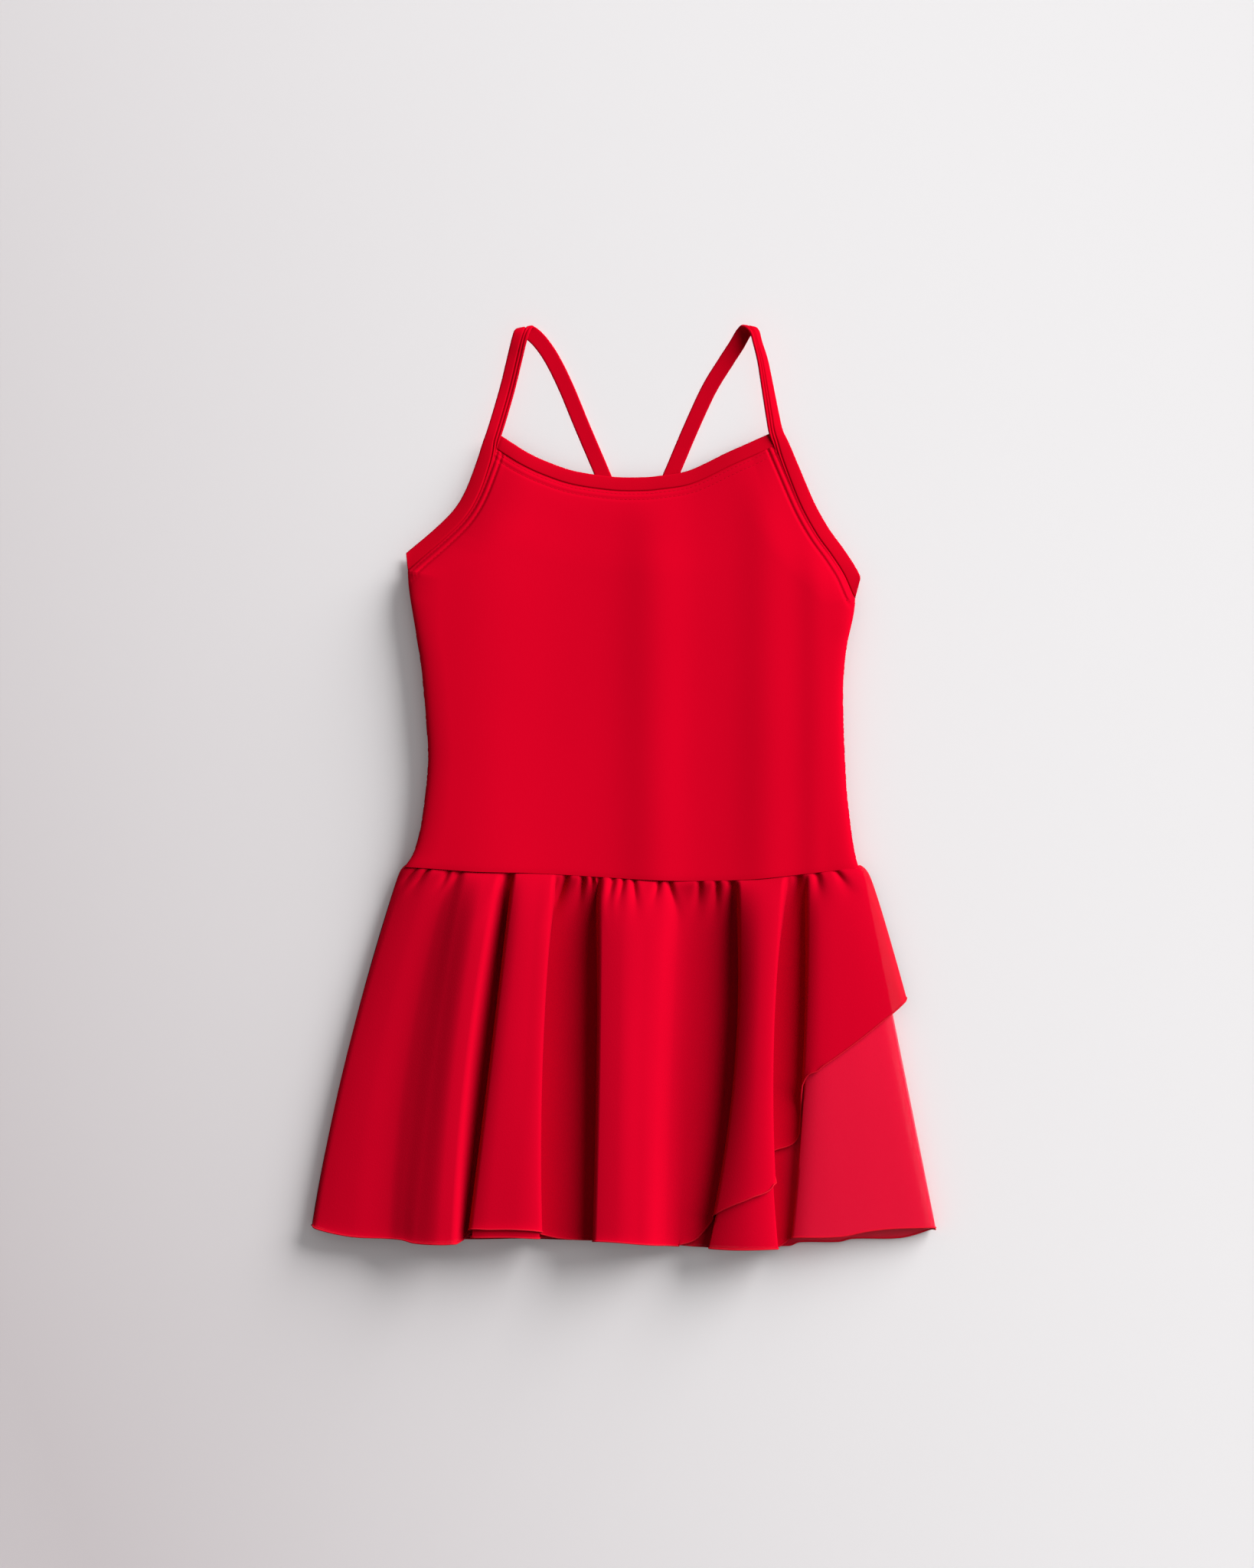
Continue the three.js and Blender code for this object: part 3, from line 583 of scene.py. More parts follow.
def front_place(u, v):
    """The front panel with what its seams and stitches draw in."""
    point = front_point(spread(u, SIDE_CROWDING), v * 2)
    for side, line in band_lines.items():
        distance = distance_to(point, line)
        for row in STITCH_ROWS:
            seam_groove = groove(distance - row - TUCK, STITCH_GROOVE_WIDTH)
            point[:, 2] -= STITCH_GROOVES[side] * seam_groove
        point[:, 2] -= TUCK * groove(distance, TUCK_WIDTH)
    above_waist = np.maximum(point[:, 1] - waist_y(point[:, 0]), 0)
    point[:, 2] -= WAIST_TUCK * np.exp(-above_waist / WAIST_TUCK_REACH) * (v < 0.5)
    return point


def shell(piece, thickness):
    """Gives a sheet its thickness inwards from its outer face."""
    wall = piece.modifiers.new("wall", "SOLIDIFY")
    wall.thickness = thickness * MM
    wall.offset = -1
    wall.material_offset = 1
    wall.material_offset_rim = 1
    bpy.ops.object.modifier_apply(modifier="wall")
    bpy.ops.object.shade_smooth_by_angle(angle=np.radians(SMOOTH_ANGLE))


def jersey_dye():
    """Matt stretch jersey: fine upright wales, a little cloudy, with a faint bloom."""
    dye = Dye("bodice_jersey")
    cloud = dye.noise(46, 2, (1, 0.45, 1))
    wales = dye.noise(0.7, 2, (1, 0.22, 1))
    grain = dye.noise(0.35, 1)
    shade = cloud * 0.55 + wales * 0.2
    return dye.finish(
        Base_Color=dye.blend(shade, JERSEY_RED, JERSEY_DEEP),
        Roughness=0.8,
        Specular_IOR_Level=SPECULAR,
        Sheen_Weight=0.05,
        Sheen_Roughness=0.5,
        Sheen_Tint=SHEEN_TINT,
        Normal=dye.bump(wales * 0.7 + grain * 0.3, 0.12, 0.3),
    )


JERSEY_CLOTH = jersey_dye()
bodice_front = form("bodice_front_jersey", *FRONT_MESH, front_place)
for _ in range(2):
    bodice_front.data.materials.append(JERSEY_CLOTH)
shell(bodice_front, JERSEY)
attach(bodice_front, "root")
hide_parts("bodice_front")

# Twin stitching of the bands
# Short upright stitches of red thread along both rows of grooves on the bodice front.

STITCH_LENGTH = 2.1
STITCH_PITCH = 2.7
STITCH_RADIUS = 0.13
STITCH_FLATNESS = 1.3
STITCH_DRAWN_IN = 0.45
LOOK_AHEAD = 0.5
ABOVE_DRESS = 0.06
STEEPEST_CLOTH = 0.2
THREAD_RED = (0.36, 0.0004, 0.008, 1)


def stitch_shape():
    """One stitch: a short six-sided bead, drawn in at both ends."""
    bpy.ops.object.select_all(action="DESELECT")
    bpy.ops.mesh.primitive_cylinder_add(vertices=6, radius=1, depth=2, end_fill_type="NGON")
    bead = bpy.context.object
    bpy.ops.object.mode_set(mode="EDIT")
    bpy.ops.mesh.select_all(action="SELECT")
    bpy.ops.mesh.bevel(offset=STITCH_DRAWN_IN, segments=1, affect="EDGES")
    bpy.ops.mesh.quads_convert_to_tris()
    bpy.ops.object.mode_set(mode="OBJECT")
    corners = np.array([vertex.co[:] for vertex in bead.data.vertices])
    faces = [tuple(face.vertices) for face in bead.data.polygons]
    bpy.data.objects.remove(bead)
    return corners, faces


BEAD_CORNERS, BEAD_FACES = stitch_shape()


def evenly_along(line, pitch):
    """Points every pitch along a line of points, with its direction at each."""
    steps = np.linalg.norm(np.diff(line, axis=0), axis=1)
    run = np.concatenate([[0], np.cumsum(steps)])
    stops = np.arange(pitch / 2, run[-1], pitch)
    points = np.stack([np.interp(stops, run, line[:, k]) for k in range(3)], -1)
    ahead = np.stack([np.interp(stops + LOOK_AHEAD, run, line[:, k]) for k in range(3)], -1)
    return points, unit(ahead - points)


def offset_line(line, distance):
    """A line moved sideways by distance, seen from above."""
    along = np.gradient(line, axis=0)
    along[:, 2] = 0
    sideways = np.cross(unit(along), (0, 0, 1))
    return line + sideways * distance


def stitches(name, lines, cloth):
    """Stitches laid on a piece of cloth below the lines, as one mesh."""
    corners, faces = [], []
    for line in lines:
        points, directions = evenly_along(line, STITCH_PITCH)
        for point, direction in zip(points, directions):
            start = Vector((point[0] * MM, point[1] * MM, ABOVE_DRESS))
            hit, spot, normal, _ = cloth.ray_cast(start, Vector((0, 0, -1)))
            if not hit or normal.z < STEEPEST_CLOTH:
                continue
            up = np.array(normal)
            along = unit(direction - up * (direction @ up))
            side = np.cross(up, along)
            size = STITCH_RADIUS * STITCH_FLATNESS, STITCH_RADIUS, STITCH_LENGTH / 2
            laid = (BEAD_CORNERS * size) @ np.array([side, up, along])
            first = len(corners) * len(BEAD_CORNERS)
            corners.append(np.array(spot) + laid * MM)
            faces += [tuple(first + corner for corner in face) for face in BEAD_FACES]
    mesh = bpy.data.meshes.new(name)
    mesh.from_pydata(np.concatenate(corners).tolist(), [], faces)
    mesh.update()
    thread = bpy.data.objects.new(name, mesh)
    bpy.context.scene.collection.objects.link(thread)
    bpy.ops.object.select_all(action="DESELECT")
    thread.select_set(True)
    bpy.context.view_layer.objects.active = thread
    bpy.ops.object.mode_set(mode="EDIT")
    bpy.ops.mesh.select_all(action="SELECT")
    bpy.ops.mesh.normals_make_consistent(inside=False)
    bpy.ops.object.mode_set(mode="OBJECT")
    bpy.ops.object.shade_smooth()
    return thread


def thread_dye():
    """Polyester thread, slightly glossy and twisted."""
    dye = Dye("sewing_thread")
    twist = dye.noise(0.3, 1)
    return dye.finish(
        Base_Color=dye.blend(twist, THREAD_RED, JERSEY_DEEP),
        Roughness=0.7,
        Specular_IOR_Level=0.05,
        Normal=dye.bump(twist, 0.05, 0.5),
    )


THREAD = thread_dye()
band_rows = []
for row in STITCH_ROWS:
    inset = row + TUCK
    band_rows.append(offset_line(band_lines["neck"], inset))
    band_rows.append(offset_line(band_lines["left"], inset))
    band_rows.append(offset_line(band_lines["right"], -inset))
front_stitches = stitches("twin_stitches_front", band_rows, bodice_front)
front_stitches.data.materials.append(THREAD)
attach(front_stitches, "root")

# Bodice back
# One panel of the same jersey, flat where it lies, turned up at the side seams.

BACK_ROLL = SIDE_SEAM_Z - SEAM_GAP / 2
BACK_WIDTH = 260
TURNED_UP_SHARE = 0.12
SIDE_INSET = 0.5
SEAM_LIFT = 0.5
SEAM_LIFT_REACH = 1.3
BAND_LIFT = 0.4
BAND_LIFT_REACH = 1.0
BACK_MESH = (150, 110)


def back_z(distance):
    """Height of the flat back where it turns up at a side seam."""
    inside = np.clip(BACK_ROLL - distance, 0, BACK_ROLL)
    return BACK_ROLL - np.sqrt(BACK_ROLL**2 - inside**2)


def turned_up(t, width):
    """Stations across a back panel, closer together over its turned-up sides."""
    share = BACK_ROLL / width
    stops = 0, TURNED_UP_SHARE, 1 - TURNED_UP_SHARE, 1
    return np.interp(t, stops, (0, share, 1 - share, 1))


def back_place(u, v):
    """The back panel from the waist up to its band, a little raised along both seams."""
    at = (1 - turned_up(u, BACK_WIDTH)) * BACK_BAND.last
    top = BACK_BAND.edge(at, -1, -TUCK)
    left, right = side_x["left"](top[:, 1]), side_x["right"](top[:, 1])
    share = np.clip((top[:, 0] - left) / (right - left), 0, 1)
    foot = mix(waist_x["left"], waist_x["right"], share)
    y = mix(waist_y(foot), top[:, 1], v)
    left, right = side_x["left"](y), side_x["right"](y)
    x = mix(left + SIDE_INSET, right - SIDE_INSET, share)
    z = back_z(np.minimum(x - left, right - x))
    at_seam = SEAM_LIFT * np.exp(-(y - waist_y(foot)) / SEAM_LIFT_REACH)
    at_band = BAND_LIFT * np.exp(-np.maximum(top[:, 1] - y, 0) / BAND_LIFT_REACH)
    return np.stack([x, y, z + at_seam + at_band], -1)


bodice_back = form("bodice_back_jersey", *BACK_MESH, back_place)
for _ in range(2):
    bodice_back.data.materials.append(JERSEY_CLOTH)
shell(bodice_back, JERSEY)
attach(bodice_back, "root")
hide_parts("bodice_back")

# Upper front skirt
# The wrap: crepe chiffon gathered into the waist seam, falling in soft folds, its hem slanting
# up to a free corner at the right. A narrow rolled hem finishes it.

CHIFFON = 0.4
LAYER_STEP = 1.8
PUFF = 2.3
PUFF_LENGTH = 2
PUFF_RISE = 0.6
PUFF_POWER = 7
FOLD_LENGTH = 13
GATHER_REACH = 14
GATHER_FADE = 1.5
SWING_END = 1.5
PINCH = 0.6
PINCH_LENGTH = 0.7
SKIRT_TUCK = 0.4
SKIRT_TUCK_REACH = 1.2
HEM_LIP = 1.0
HEM_LIP_WIDTH = 2.2
CORNER_FLARE = 9
CORNER_START = 120
CORNER_POWER = 0.6
SEAM_STEP = 0.15
DOWN_STEP = 0.002
SEAM_CROWDING = 0.25
ENDS_CROWDING = 0.6
HEM_STATIONS = 420
WRAP_MESH = (400, 110)
CHIFFON_RED = (0.446, 0.0004, 0.0126, 1)
CHIFFON_DEEP = (0.382, 0.0003, 0.0098, 1)
# Paler, pinker colours of the same chiffon for the under and back layers and the inner faces:
# painted light, standing in for light showing through a single thin layer
SHEER_PAINTED_LIGHT_RED = (0.61, 0.0056, 0.030, 1)
SHEER_PAINTED_LIGHT_DEEP = (0.535, 0.0048, 0.0245, 1)
OUTER_ALPHA = 0.97
SHEER_ALPHA = 0.80
# Between these x the under and back layers turn from the wrap's colour and density to the sheer
# colour with its painted light
SHEER_AND_PAINTED_LIGHT_FROM = (92, 112)
INNER_ALPHA = 0.12
HEM_RADIUS = 0.5
HEM_SIDES = 8

# seam, mid and hem are a fold's x at the waist seam, half way down and at the hem, end its y
# at the hem, mid_z and hem_z its height there
FOLDS = columns(
    "seam mid hem end mid_z hem_z",
    (-130.6, -162.5, -184.3, -265.1, 5.15, 5.15),
    (-126.9, -160.6, -182.6, -267.4, 7.4, 7.4),
    (-115.8, -147.2, -163.4, -271.5, 10.4, 10.6),
    (-104.2, -130.3, -141.5, -272.5, 11.8, 11.8),
    (-99.1, -122.0, -133.0, -273.0, 14.4, 14.6),
    (-94.0, -113.0, -125.0, -274.8, 18.4, 18.4),
    (-83.3, -101.0, -110.5, -275.3, 22.4, 22.6),
    (-77.0, -94.6, -103.4, -275.0, 22.0, 22.4),
    (-73.0, -90.6, -100.2, -274.0, 14.5, 15.0),
    (-70.0, -84.0, -96.6, -272.0, 6.6, 6.4),
    (-66.6, -77.6, -91.2, -268.6, 4.8, 4.8),
    (-65.0, -78.0, -91.4, -266.5, 20.4, 18.6),
    (-59.5, -71.0, -81.5, -266.5, 22.2, 20.2),
    (-52.0, -60.0, -66.0, -266.5, 21.2, 20.2),
    (-43.6, -50.4, -51.0, -267.9, 19.2, 17.8),
    (-40.5, -51.4, -52.2, -269.8, 4.8, 4.8),
    (-32.4, -38.0, -38.5, -273.0, 4.8, 5.4),
    (-16.6, -14.6, -17.0, -273.9, 6.2, 7.4),
    (-13.4, -14.4, -16.8, -273.4, 21.8, 21.4),
    (-1.4, -3.0, -5.0, -273.9, 22.6, 22.4),
    (14.0, 9.6, 7.6, -275.2, 19.6, 20.4),
    (24.0, 18.6, 16.0, -276.0, 15.8, 17.4),
    (34.0, 28.4, 24.8, -277.0, 7.8, 8.0),
    (45.0, 40.0, 33.5, -277.7, 5.4, 5.2),
    (57.9, 56.6, 43.0, -278.0, 4.8, 5.4),
    (67.6, 68.4, 51.4, -277.9, 5.4, 6.6),
    (70.0, 68.6, 51.6, -277.7, 19.6, 17.6),
    (84.0, 79.8, 74.0, -278.0, 24.6, 22.6),
    (95.0, 87.8, 92.0, -278.0, 23.0, 18.5),
    (99.6, 87.4, 91.4, -277.6, 5.0, 6.4),
    (109.0, 109.2, 101.0, -276.6, 6.4, 6.6),
    (111.5, 109.4, 101.2, -275.4, 15.0, 13.0),
    (118.0, 117.0, 113.0, -275.0, 17.0, 15.0),
    (125.0, 127.3, 130.0, -274.8, 16.0, 14.4),
    (134.5, 147.5, 160.0, -273.4, 12.6, 12.0),
    (140.2, 162.6, 184.2, -268.6, 8.6, 8.6),
    (141.7, 163.9, 185.7, -267.4, 5.15, 5.15),
)

# The height of the wrap's hem below each place along the waist seam
WRAP_HEM = columns(
    "seam y",
    (45.0, -277.0),
    (57.9, -273.5),
    (65.3, -264.6),
    (70.0, -257.5),
    (76.0, -252.5),
    (84.0, -247.5),
    (95.0, -239.5),
    (99.6, -223.0),
    (109.0, -210.0),
    (111.5, -180.0),
    (118.0, -171.0),
    (125.0, -161.4),
    (134.5, -143.8),
    (141.7, -128.0),
)

# Gathers under the waist seam: where each starts, its depth, width and length, and how far
# it swings to the left on its way down
GATHERS = columns(
    "x depth width length swing",
    (-123.6, 4.0, 1.5, 10, 4),
    (-117.1, 3.8, 1.4, 9, 3),
    (-105.1, 2.8, 1.5, 8, 1),
    (-98.5, 2.8, 2.2, 13, 2),
    (-68.9, 4.6, 2.2, 20, 4),
    (-34.3, 4.4, 1.7, 20, 5),
    (-24.5, 4.6, 1.5, 14, 2),
    (-18.4, 4.0, 1.2, 10, 1),
    (-14.6, 4.6, 1.6, 16, 1),
    (-6.5, 4.2, 1.6, 11, 2),
    (0.0, 4.2, 1.3, 10, 2),
    (6.0, 4.0, 1.4, 12, -1),
    (21.3, 4.0, 1.3, 9, 2),
    (27.3, 4.0, 1.6, 14, -3),
    (45.8, 3.4, 1.6, 12, 1),
    (56.0, 4.0, 1.5, 14, 1),
    (64.8, 4.8, 2.0, 20, 1),
    (105.1, 4.4, 2.2, 18, 2),
    (115.8, 3.6, 1.8, 11, -1),
    (127.3, 3.2, 1.6, 10, -3),
)
fold = {name: curve(FOLDS, "seam", name) for name in ("mid", "hem", "end")}
fold |= {name: curve(FOLDS, "seam", name, swells=False) for name in ("mid_z", "hem_z")}
seam_start, seam_end = FOLDS["seam"][0], FOLDS["seam"][-1]
wrap_hem_y = curve(WRAP_HEM, "seam", "y")


def through_three(start, middle, end, t):
    """A parabola through a value at the start, the middle and the end."""
    return start * (1 - t) * (1 - 2 * t) + middle * 4 * t * (1 - t) + end * t * (2 * t - 1)


def gather_depth(seam, drop):
    """How far the gathers press in at a place under the seam."""
    depth = np.zeros_like(seam)
    drop = np.maximum(drop, 0)
    rows = zip(*(GATHERS[name] for name in ("x", "depth", "width", "length", "swing")))
    for x, deep, width, length, swing in rows:
        middle = x - swing * np.clip(drop / length, 0, SWING_END)
        wide = width * (1 + drop / length)
        pinched = 1 - PINCH * np.exp(-drop / PINCH_LENGTH)
        fade = np.exp(-((drop / length) ** GATHER_FADE)) * pinched
        depth = np.maximum(depth, deep * fade * groove(seam - middle, wide))
    return depth


def skirt_point(seam, down, end=None):
    """Outer face of the under layer: seam is where its fold leaves the waist, and down
    runs from 0 there to 1 at the hem."""
    top = waist_y(seam)
    if end is None:
        end = fold["end"](seam)
    y = mix(top, end, down)
    drop = top - y
    outwards = 2 * (seam - seam_start) / (seam_end - seam_start) - 1
    puff = PUFF * (1 - np.exp(-drop / PUFF_LENGTH))
    x = through_three(seam, fold["mid"](seam), fold["hem"](seam), down)
    x = x + puff * outwards**PUFF_POWER
    sides = roll(seam - seam_start, SIDE_ROLL) * roll(seam_end - seam, SIDE_ROLL)
    waist_z = mix(FRONT_EDGE_Z, crown_z(top) - LAYER_STEP, sides)
    body_z = mix(fold["mid_z"](seam), fold["hem_z"](seam), np.clip(2 * down - 1, 0, 1))
    grown = 1 - np.exp(-drop / FOLD_LENGTH)
    dent = gather_depth(seam, drop) * sides
    tucked = SKIRT_TUCK * np.exp(-drop / SKIRT_TUCK_REACH)
    swelling = puff * PUFF_RISE * sides * (1 - grown)
    z = mix(waist_z, body_z, grown) + swelling - dent - tucked
    return np.stack([x, y, z], -1)


def lifted(place, seam, down, height):
    """Points of a layer moved out from its face, and straight up among the gathers."""
    across = place(seam + SEAM_STEP, down) - place(seam - SEAM_STEP, down)
    along = place(seam, down - DOWN_STEP) - place(seam, down + DOWN_STEP)
    point = place(seam, down)
    upright = np.exp(-np.maximum(waist_y(seam) - point[:, 1], 0) / GATHER_REACH)
    inside = np.clip(np.minimum(seam - seam_start, seam_end - seam) / SIDE_ROLL, 0, 1)
    out = mix(unit(np.cross(across, along)), np.array((0, 0, 1.0)), upright * inside)
    return point + unit(out) * height


def wrap_point(seam, down):
    """The same face cut off at the wrap's hem, which is raised a little and flares out at
    its free corner."""
    top = waist_y(seam)
    end = np.maximum(wrap_hem_y(seam), fold["end"](seam))
    whole = seam < WRAP_HEM["seam"][0]
    share = np.where(whole, 1, (top - end) / (top - fold["end"](seam)))
    point = skirt_point(seam, down * share)
    corner = np.clip((seam - CORNER_START) / (seam_end - CORNER_START), 0, 1)
    point[..., 0] += CORNER_FLARE * corner * np.maximum(down, 0) ** CORNER_POWER
    to_hem = np.maximum(1 - down, 0) * (top - end)
    point[..., 2] += HEM_LIP * np.exp(-to_hem / HEM_LIP_WIDTH) * (1 - corner)
    return point


def stations(u, v):
    """Places along the seam and down from it, closer together at the sheet's edges."""
    seam = mix(seam_start, seam_end, spread(u, SEAM_CROWDING))
    return seam, 1 - spread(v, ENDS_CROWDING)


def wrap_place(u, v):
    return lifted(wrap_point, *stations(u, v), LAYER_STEP)


def chiffon_dye(name, light, deep, alpha, thins_and_paints_light=None):
    """Sheer crepe chiffon: a fine pebbled grain, matt, letting a little light through. Given two x
    values, it has the wrap's colour and density up to the first and is wholly sheer from the
    second; its paler, pinker colour there is painted light, showing through the thin cloth."""
    dye = Dye(name)
    crepe = dye.noise(0.75, 2)
    cloud = dye.noise(30, 2, (1, 0.4, 1))
    shade = cloud * 0.4 + crepe * 0.35
    colour = dye.blend(shade, light, deep)
    if thins_and_paints_light:
        across = dye.node("ShaderNodeSeparateXYZ", {}, {"Vector": dye.place()})
        stops = {"Value": across, "From Min": thins_and_paints_light[0] * MM, "From Max": thins_and_paints_light[1] * MM}
        share = dye.node("ShaderNodeMapRange", {"interpolation_type": "SMOOTHSTEP"}, stops)
        dense = dye.blend(shade, CHIFFON_RED, CHIFFON_DEEP)
        colour = dye.blend(share, dense, colour)
        alpha = share * (alpha - OUTER_ALPHA) + OUTER_ALPHA
    return dye.finish(
        Base_Color=colour,
        Roughness=0.9,
        Specular_IOR_Level=SPECULAR,
        Sheen_Weight=0.05,
        Sheen_Roughness=0.6,
        Sheen_Tint=SHEEN_TINT,
        Alpha=alpha,
        Normal=dye.bump(crepe, 0.2, 0.35),
    )


CHIFFON_OUTSIDE = chiffon_dye("chiffon_outside", CHIFFON_RED, CHIFFON_DEEP, OUTER_ALPHA)
# The under and back layers: paler and pinker right of the wrap, painted light showing through the
# thin cloth; the inner faces take the same painted-light pink
CHIFFON_SHEER_PAINTED_LIGHT = chiffon_dye("chiffon_sheer_painted_light", SHEER_PAINTED_LIGHT_RED, SHEER_PAINTED_LIGHT_DEEP, SHEER_ALPHA, SHEER_AND_PAINTED_LIGHT_FROM)
CHIFFON_INSIDE = chiffon_dye("chiffon_inside", SHEER_PAINTED_LIGHT_RED, SHEER_PAINTED_LIGHT_DEEP, INNER_ALPHA)


def hem_dye():
    """The rolled hem: several turns of chiffon under close stitching, so it is dense."""
    dye = Dye("rolled_hem")
    stitched = dye.noise(0.6, 1)
    return dye.finish(
        Base_Color=dye.blend(stitched, CHIFFON_RED, JERSEY_DEEP),
        Roughness=0.75,
        Specular_IOR_Level=0.1,
        Normal=dye.bump(stitched, 0.15, 0.5),
    )


HEM_THREAD = hem_dye()


def roll_hem(sheet, line):
    """Joins a thin tube to a sheet along its hem, for its rolled edge."""
    along = unit(np.gradient(line, axis=0))
    side = unit(np.cross(along, (0, 0, 1)))
    up = np.cross(side, along)
    run = np.linspace(0, 1, len(line))

    def place(u, v):
        centre, across, rise = (
            np.stack([np.interp(v, run, part[:, k]) for k in range(3)], -1)
            for part in (line, side, up)
        )
        angle = (2 * np.pi * u)[:, None]
        return centre + HEM_RADIUS * (np.cos(angle) * across + np.sin(angle) * rise)

    tube = form("hem_roll", HEM_SIDES, len(line) - 1, place)
    close_tube(tube)
    tube.data.materials.append(HEM_THREAD)
    sheet.select_set(True)
    bpy.context.view_layer.objects.active = sheet
    bpy.ops.object.join()


def chiffon_sheet(name, mesh, place, hem_line, cloth):
    """A layer of the skirt: a thin sheet, its inner face almost clear so that the weave
    reads as one sheer layer."""
    sheet = form(name, *mesh, place)
    sheet.data.materials.append(cloth)
    sheet.data.materials.append(CHIFFON_INSIDE)
    shell(sheet, CHIFFON)
    roll_hem(sheet, hem_line)
    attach(sheet, "root")
    return sheet


hem_stations = np.linspace(0, 1, HEM_STATIONS)
hem_level = np.zeros(HEM_STATIONS)
wrap_line = wrap_place(hem_stations, hem_level)
wrap = chiffon_sheet("skirt_wrap_chiffon", WRAP_MESH, wrap_place, wrap_line, CHIFFON_OUTSIDE)
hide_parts("skirt_wrap")

# Under front skirt
# A second layer of the same chiffon, gathered with the wrap and seen below its slanting hem.

UNDER_HEM = columns(
    "seam y",
    (-130.6, -263.0),
    (-115.8, -269.5),
    (-94.0, -272.8),
    (-69.9, -271.5),
    (-54.2, -271.0),
    (-43.1, -272.0),
    (-18.8, -272.8),
    (16.0, -274.0),
    (41.7, -276.5),
    (57.9, -277.6),
    (70.4, -278.0),
    (80.0, -278.4),
    (90.3, -278.2),
    (101.9, -277.6),
    (105.0, -275.5),
    (107.0, -273.4),
    (112.0, -271.8),
    (125.0, -271.1),
    (130.0, -268.2),
    (134.5, -266.6),
    (139.6, -266.2),
    (141.7, -266.6),
)
UNDER_STEP = 0.2
UNDER_MESH = (330, 90)
under_hem_y = curve(UNDER_HEM, "seam", "y")


def under_point(seam, down):
    return skirt_point(seam, down, under_hem_y(seam))


def under_place(u, v):
    return lifted(under_point, *stations(u, v), UNDER_STEP)


under_line = under_place(hem_stations, hem_level)
under = chiffon_sheet("skirt_under_chiffon", UNDER_MESH, under_place, under_line, CHIFFON_SHEER_PAINTED_LIGHT)
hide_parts("skirt_under")

# Back skirt
# One layer of chiffon, flat where it lies, its sides turned up to the side seams.

BACK_HEM = columns(
    "x y",
    (-186.0, -265.0),
    (-170.0, -270.0),
    (-150.0, -271.6),
    (-120.0, -273.2),
    (-90.0, -273.6),
    (-60.0, -273.2),
    (-30.0, -274.0),
    (0.0, -274.2),
    (40.0, -276.0),
    (60.0, -277.4),
    (100.0, -277.6),
    (106.0, -275.5),
    (130.0, -275.2),
    (138.0, -273.4),
    (162.0, -273.2),
    (172.0, -272.0),
    (186.0, -267.6),
)
BACK_SKIRT_WIDTH = 330
BACK_SKIRT_LIFT = 0.5
BACK_SKIRT_LIFT_REACH = 1.2
BACK_SKIRT_MESH = (200, 90)
back_hem_y = curve(BACK_HEM, "x", "y")


def back_skirt_place(u, v):
    """The back layer from the waist down to its hem, seen from below, so it runs from right
    to left."""
    down = 1 - v
    left = skirt_point(np.full_like(u, seam_start), down)[:, 0] - LAYER_STEP
    right = skirt_point(np.full_like(u, seam_end), down)[:, 0]
    x = mix(right, left, turned_up(u, BACK_SKIRT_WIDTH))
    top = waist_y(np.clip(x, waist_x["left"], waist_x["right"]))
    y = mix(top, back_hem_y(x), down)
    z = back_z(np.minimum(x - left, right - x))
    lift = BACK_SKIRT_LIFT * np.exp(-(top - y) / BACK_SKIRT_LIFT_REACH)
    return np.stack([x, y, z + lift], -1)


back_line = back_skirt_place(hem_stations, hem_level) + (0, 0, HEM_RADIUS)
back_skirt = chiffon_sheet(
    "skirt_back_chiffon", BACK_SKIRT_MESH, back_skirt_place, back_line, CHIFFON_SHEER_PAINTED_LIGHT
)
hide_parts("skirt_back")

# Floor
# A pale surface, its colour painted darker and warmer towards the lower left: painted shade where
# the light from the upper right falls off.

FLOOR_SIZE = 6
FLOOR_DROP = 0.0003
FLOOR_LIGHT = (0.875, 0.858, 0.866, 1)
FLOOR_PAINTED_SHADE = (0.575, 0.530, 0.542, 1)
SHADE_AT_MIDDLE = 0.5
SHADE_ACROSS = -1.0
SHADE_ALONG = -0.38

bpy.ops.object.select_all(action="DESELECT")
bpy.ops.mesh.primitive_plane_add(size=FLOOR_SIZE, location=(0, 0, -FLOOR_DROP))
floor = bpy.context.object
floor.name = "floor"
# Painted shade: the floor's colour darkens with its place towards the lower left, standing in for
# the light's falloff
ground = Dye("floor_painted_shade")
apart = ground.node("ShaderNodeSeparateXYZ", {}, {"Vector": ground.place()})
apart_y = Value(ground, apart.socket.node.outputs["Y"])
slant = apart * SHADE_ACROSS + apart_y * SHADE_ALONG
clamped = {"operation": "ADD", "use_clamp": True}
painted_shade = ground.node("ShaderNodeMath", clamped, {0: SHADE_AT_MIDDLE, 1: slant}) ** 2
floor.data.materials.append(
    ground.finish(
        Base_Color=ground.blend(painted_shade, FLOOR_LIGHT, FLOOR_PAINTED_SHADE),
        Roughness=0.9,
        Specular_IOR_Level=0.1,
    )
)

# Light and camera
# A soft light on the dress, a lower one on the floor, both from the upper right, a pale dome
# over the floor, an even fill, and a camera straight above.

VIEW_CENTRE = (0.00185, 0.00116)
VIEW_HEIGHT = 0.948
CAMERA_DISTANCE = 3.0
SENSOR = 36
FILL = 0.145

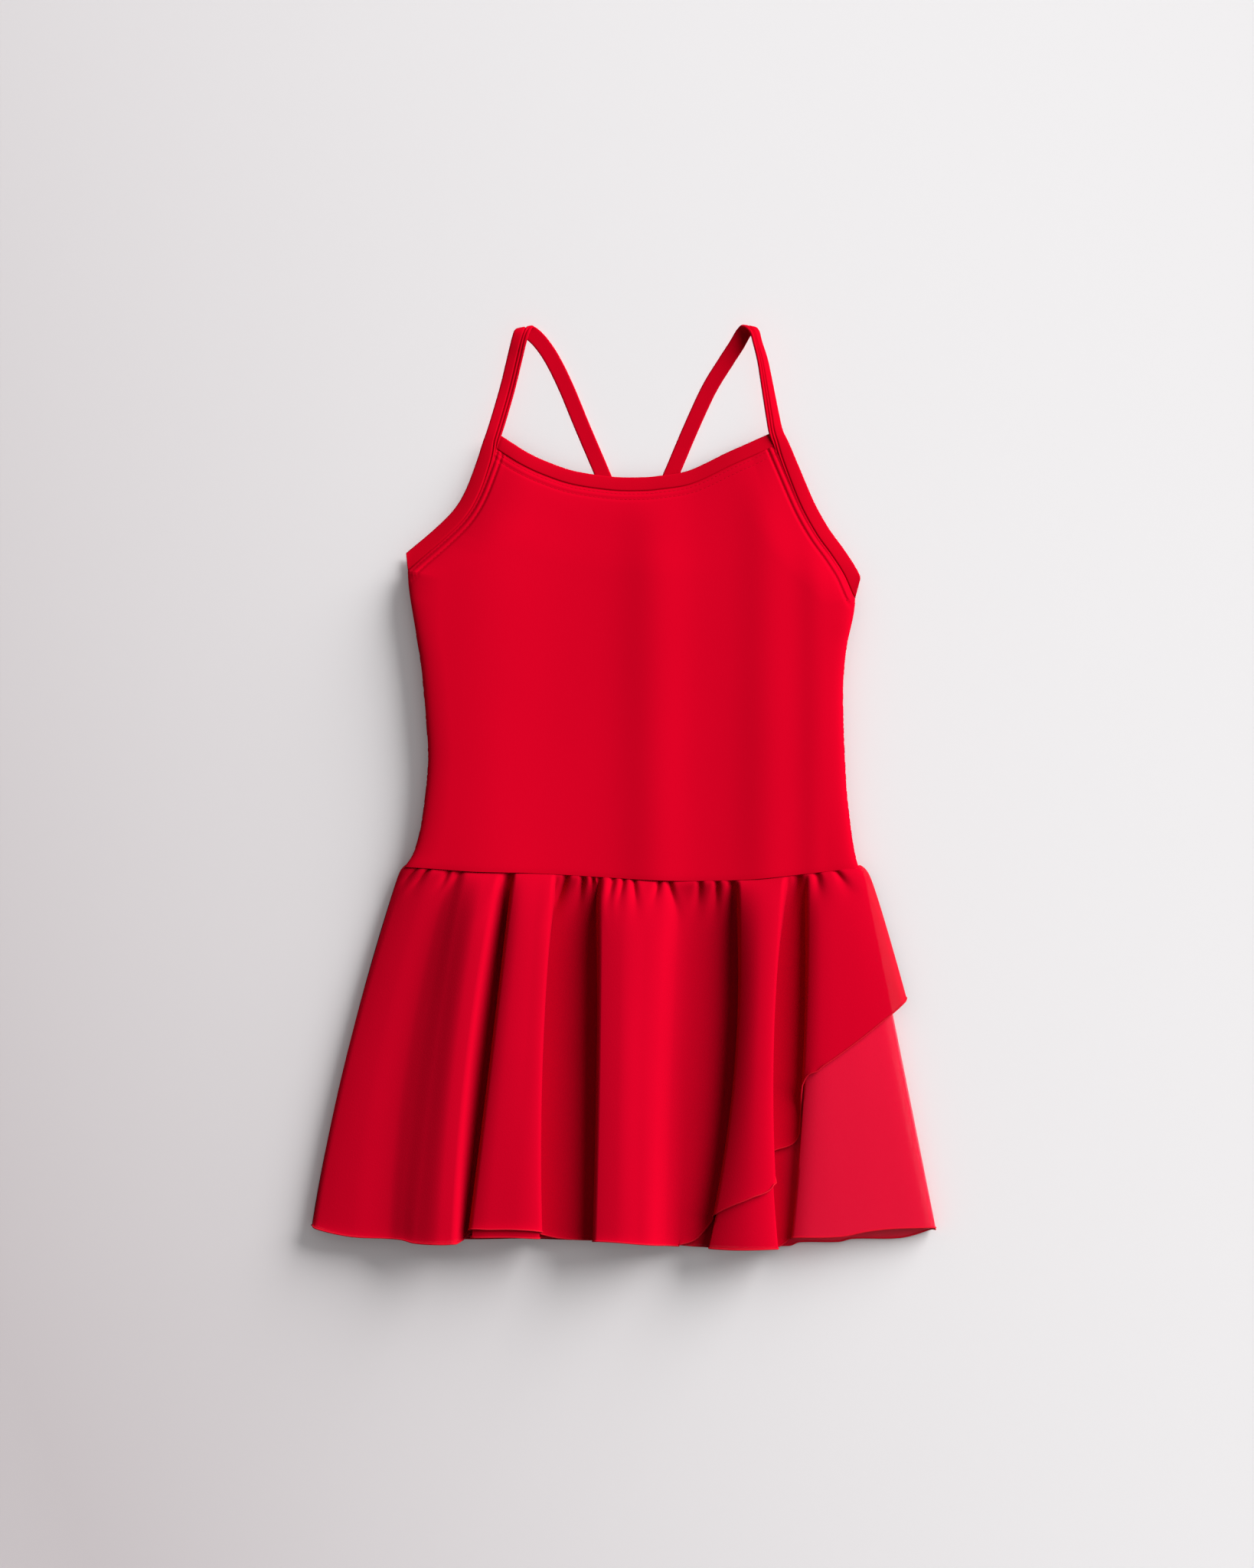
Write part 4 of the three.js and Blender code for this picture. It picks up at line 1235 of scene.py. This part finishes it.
# Each light's bearing, height and spread in degrees, and its strength. One whose name ends
# in dress falls on the dress alone, the others on the floor alone.
LIGHTS = {
    "light_on_dress": {"bearing": 32, "height": 31, "spread": 56, "strength": 7.5},
    "light_on_floor": {"bearing": 38, "height": 13, "spread": 50, "strength": 7.85},
    "dome_on_floor": {"bearing": 90, "height": 90, "spread": 150, "strength": 0.83},
}

# The straps are too thin to leave a shadow that shows on the floor
THIN_BANDS = ("strap_band_left", "strap_band_right")

meshes = [shown for shown in bpy.data.objects if shown.type == "MESH"]
for name, light in LIGHTS.items():
    on_floor = name.endswith("floor")
    lamp = bpy.data.lights.new(name, "SUN")
    lamp.angle = np.radians(light["spread"])
    lamp.energy = light["strength"]
    softbox = bpy.data.objects.new(name, lamp)
    bearing, height = np.radians(light["bearing"]), np.radians(light["height"])
    level = np.cos(height)
    beam = Vector((np.cos(bearing) * level, np.sin(bearing) * level, np.sin(height)))
    softbox.location = beam
    softbox.rotation_euler = beam.to_track_quat("Z", "Y").to_euler()
    bpy.context.scene.collection.objects.link(softbox)
    lit = bpy.data.collections.new(name + "_falls_on")
    softbox.light_linking.receiver_collection = lit
    shading = bpy.data.collections.new(name + "_is_shaded_by")
    softbox.light_linking.blocker_collection = shading
    for shown in meshes:
        if (shown == floor) == on_floor:
            lit.objects.link(shown)
        if not (on_floor and shown.name in THIN_BANDS):
            shading.objects.link(shown)

world = bpy.data.worlds.new("even_fill")
world.use_nodes = True
background = world.node_tree.nodes["Background"]
background.inputs["Color"].default_value = (1, 1, 1, 1)
background.inputs["Strength"].default_value = FILL
bpy.context.scene.world = world

camera_data = bpy.data.cameras.new("camera")
camera_data.sensor_width = SENSOR
camera_data.lens = SENSOR * CAMERA_DISTANCE / VIEW_HEIGHT
camera = bpy.data.objects.new("camera", camera_data)
camera.location = (*VIEW_CENTRE, CAMERA_DISTANCE)
bpy.context.scene.collection.objects.link(camera)
bpy.context.scene.camera = camera
bpy.context.scene.view_settings.view_transform = "Standard"
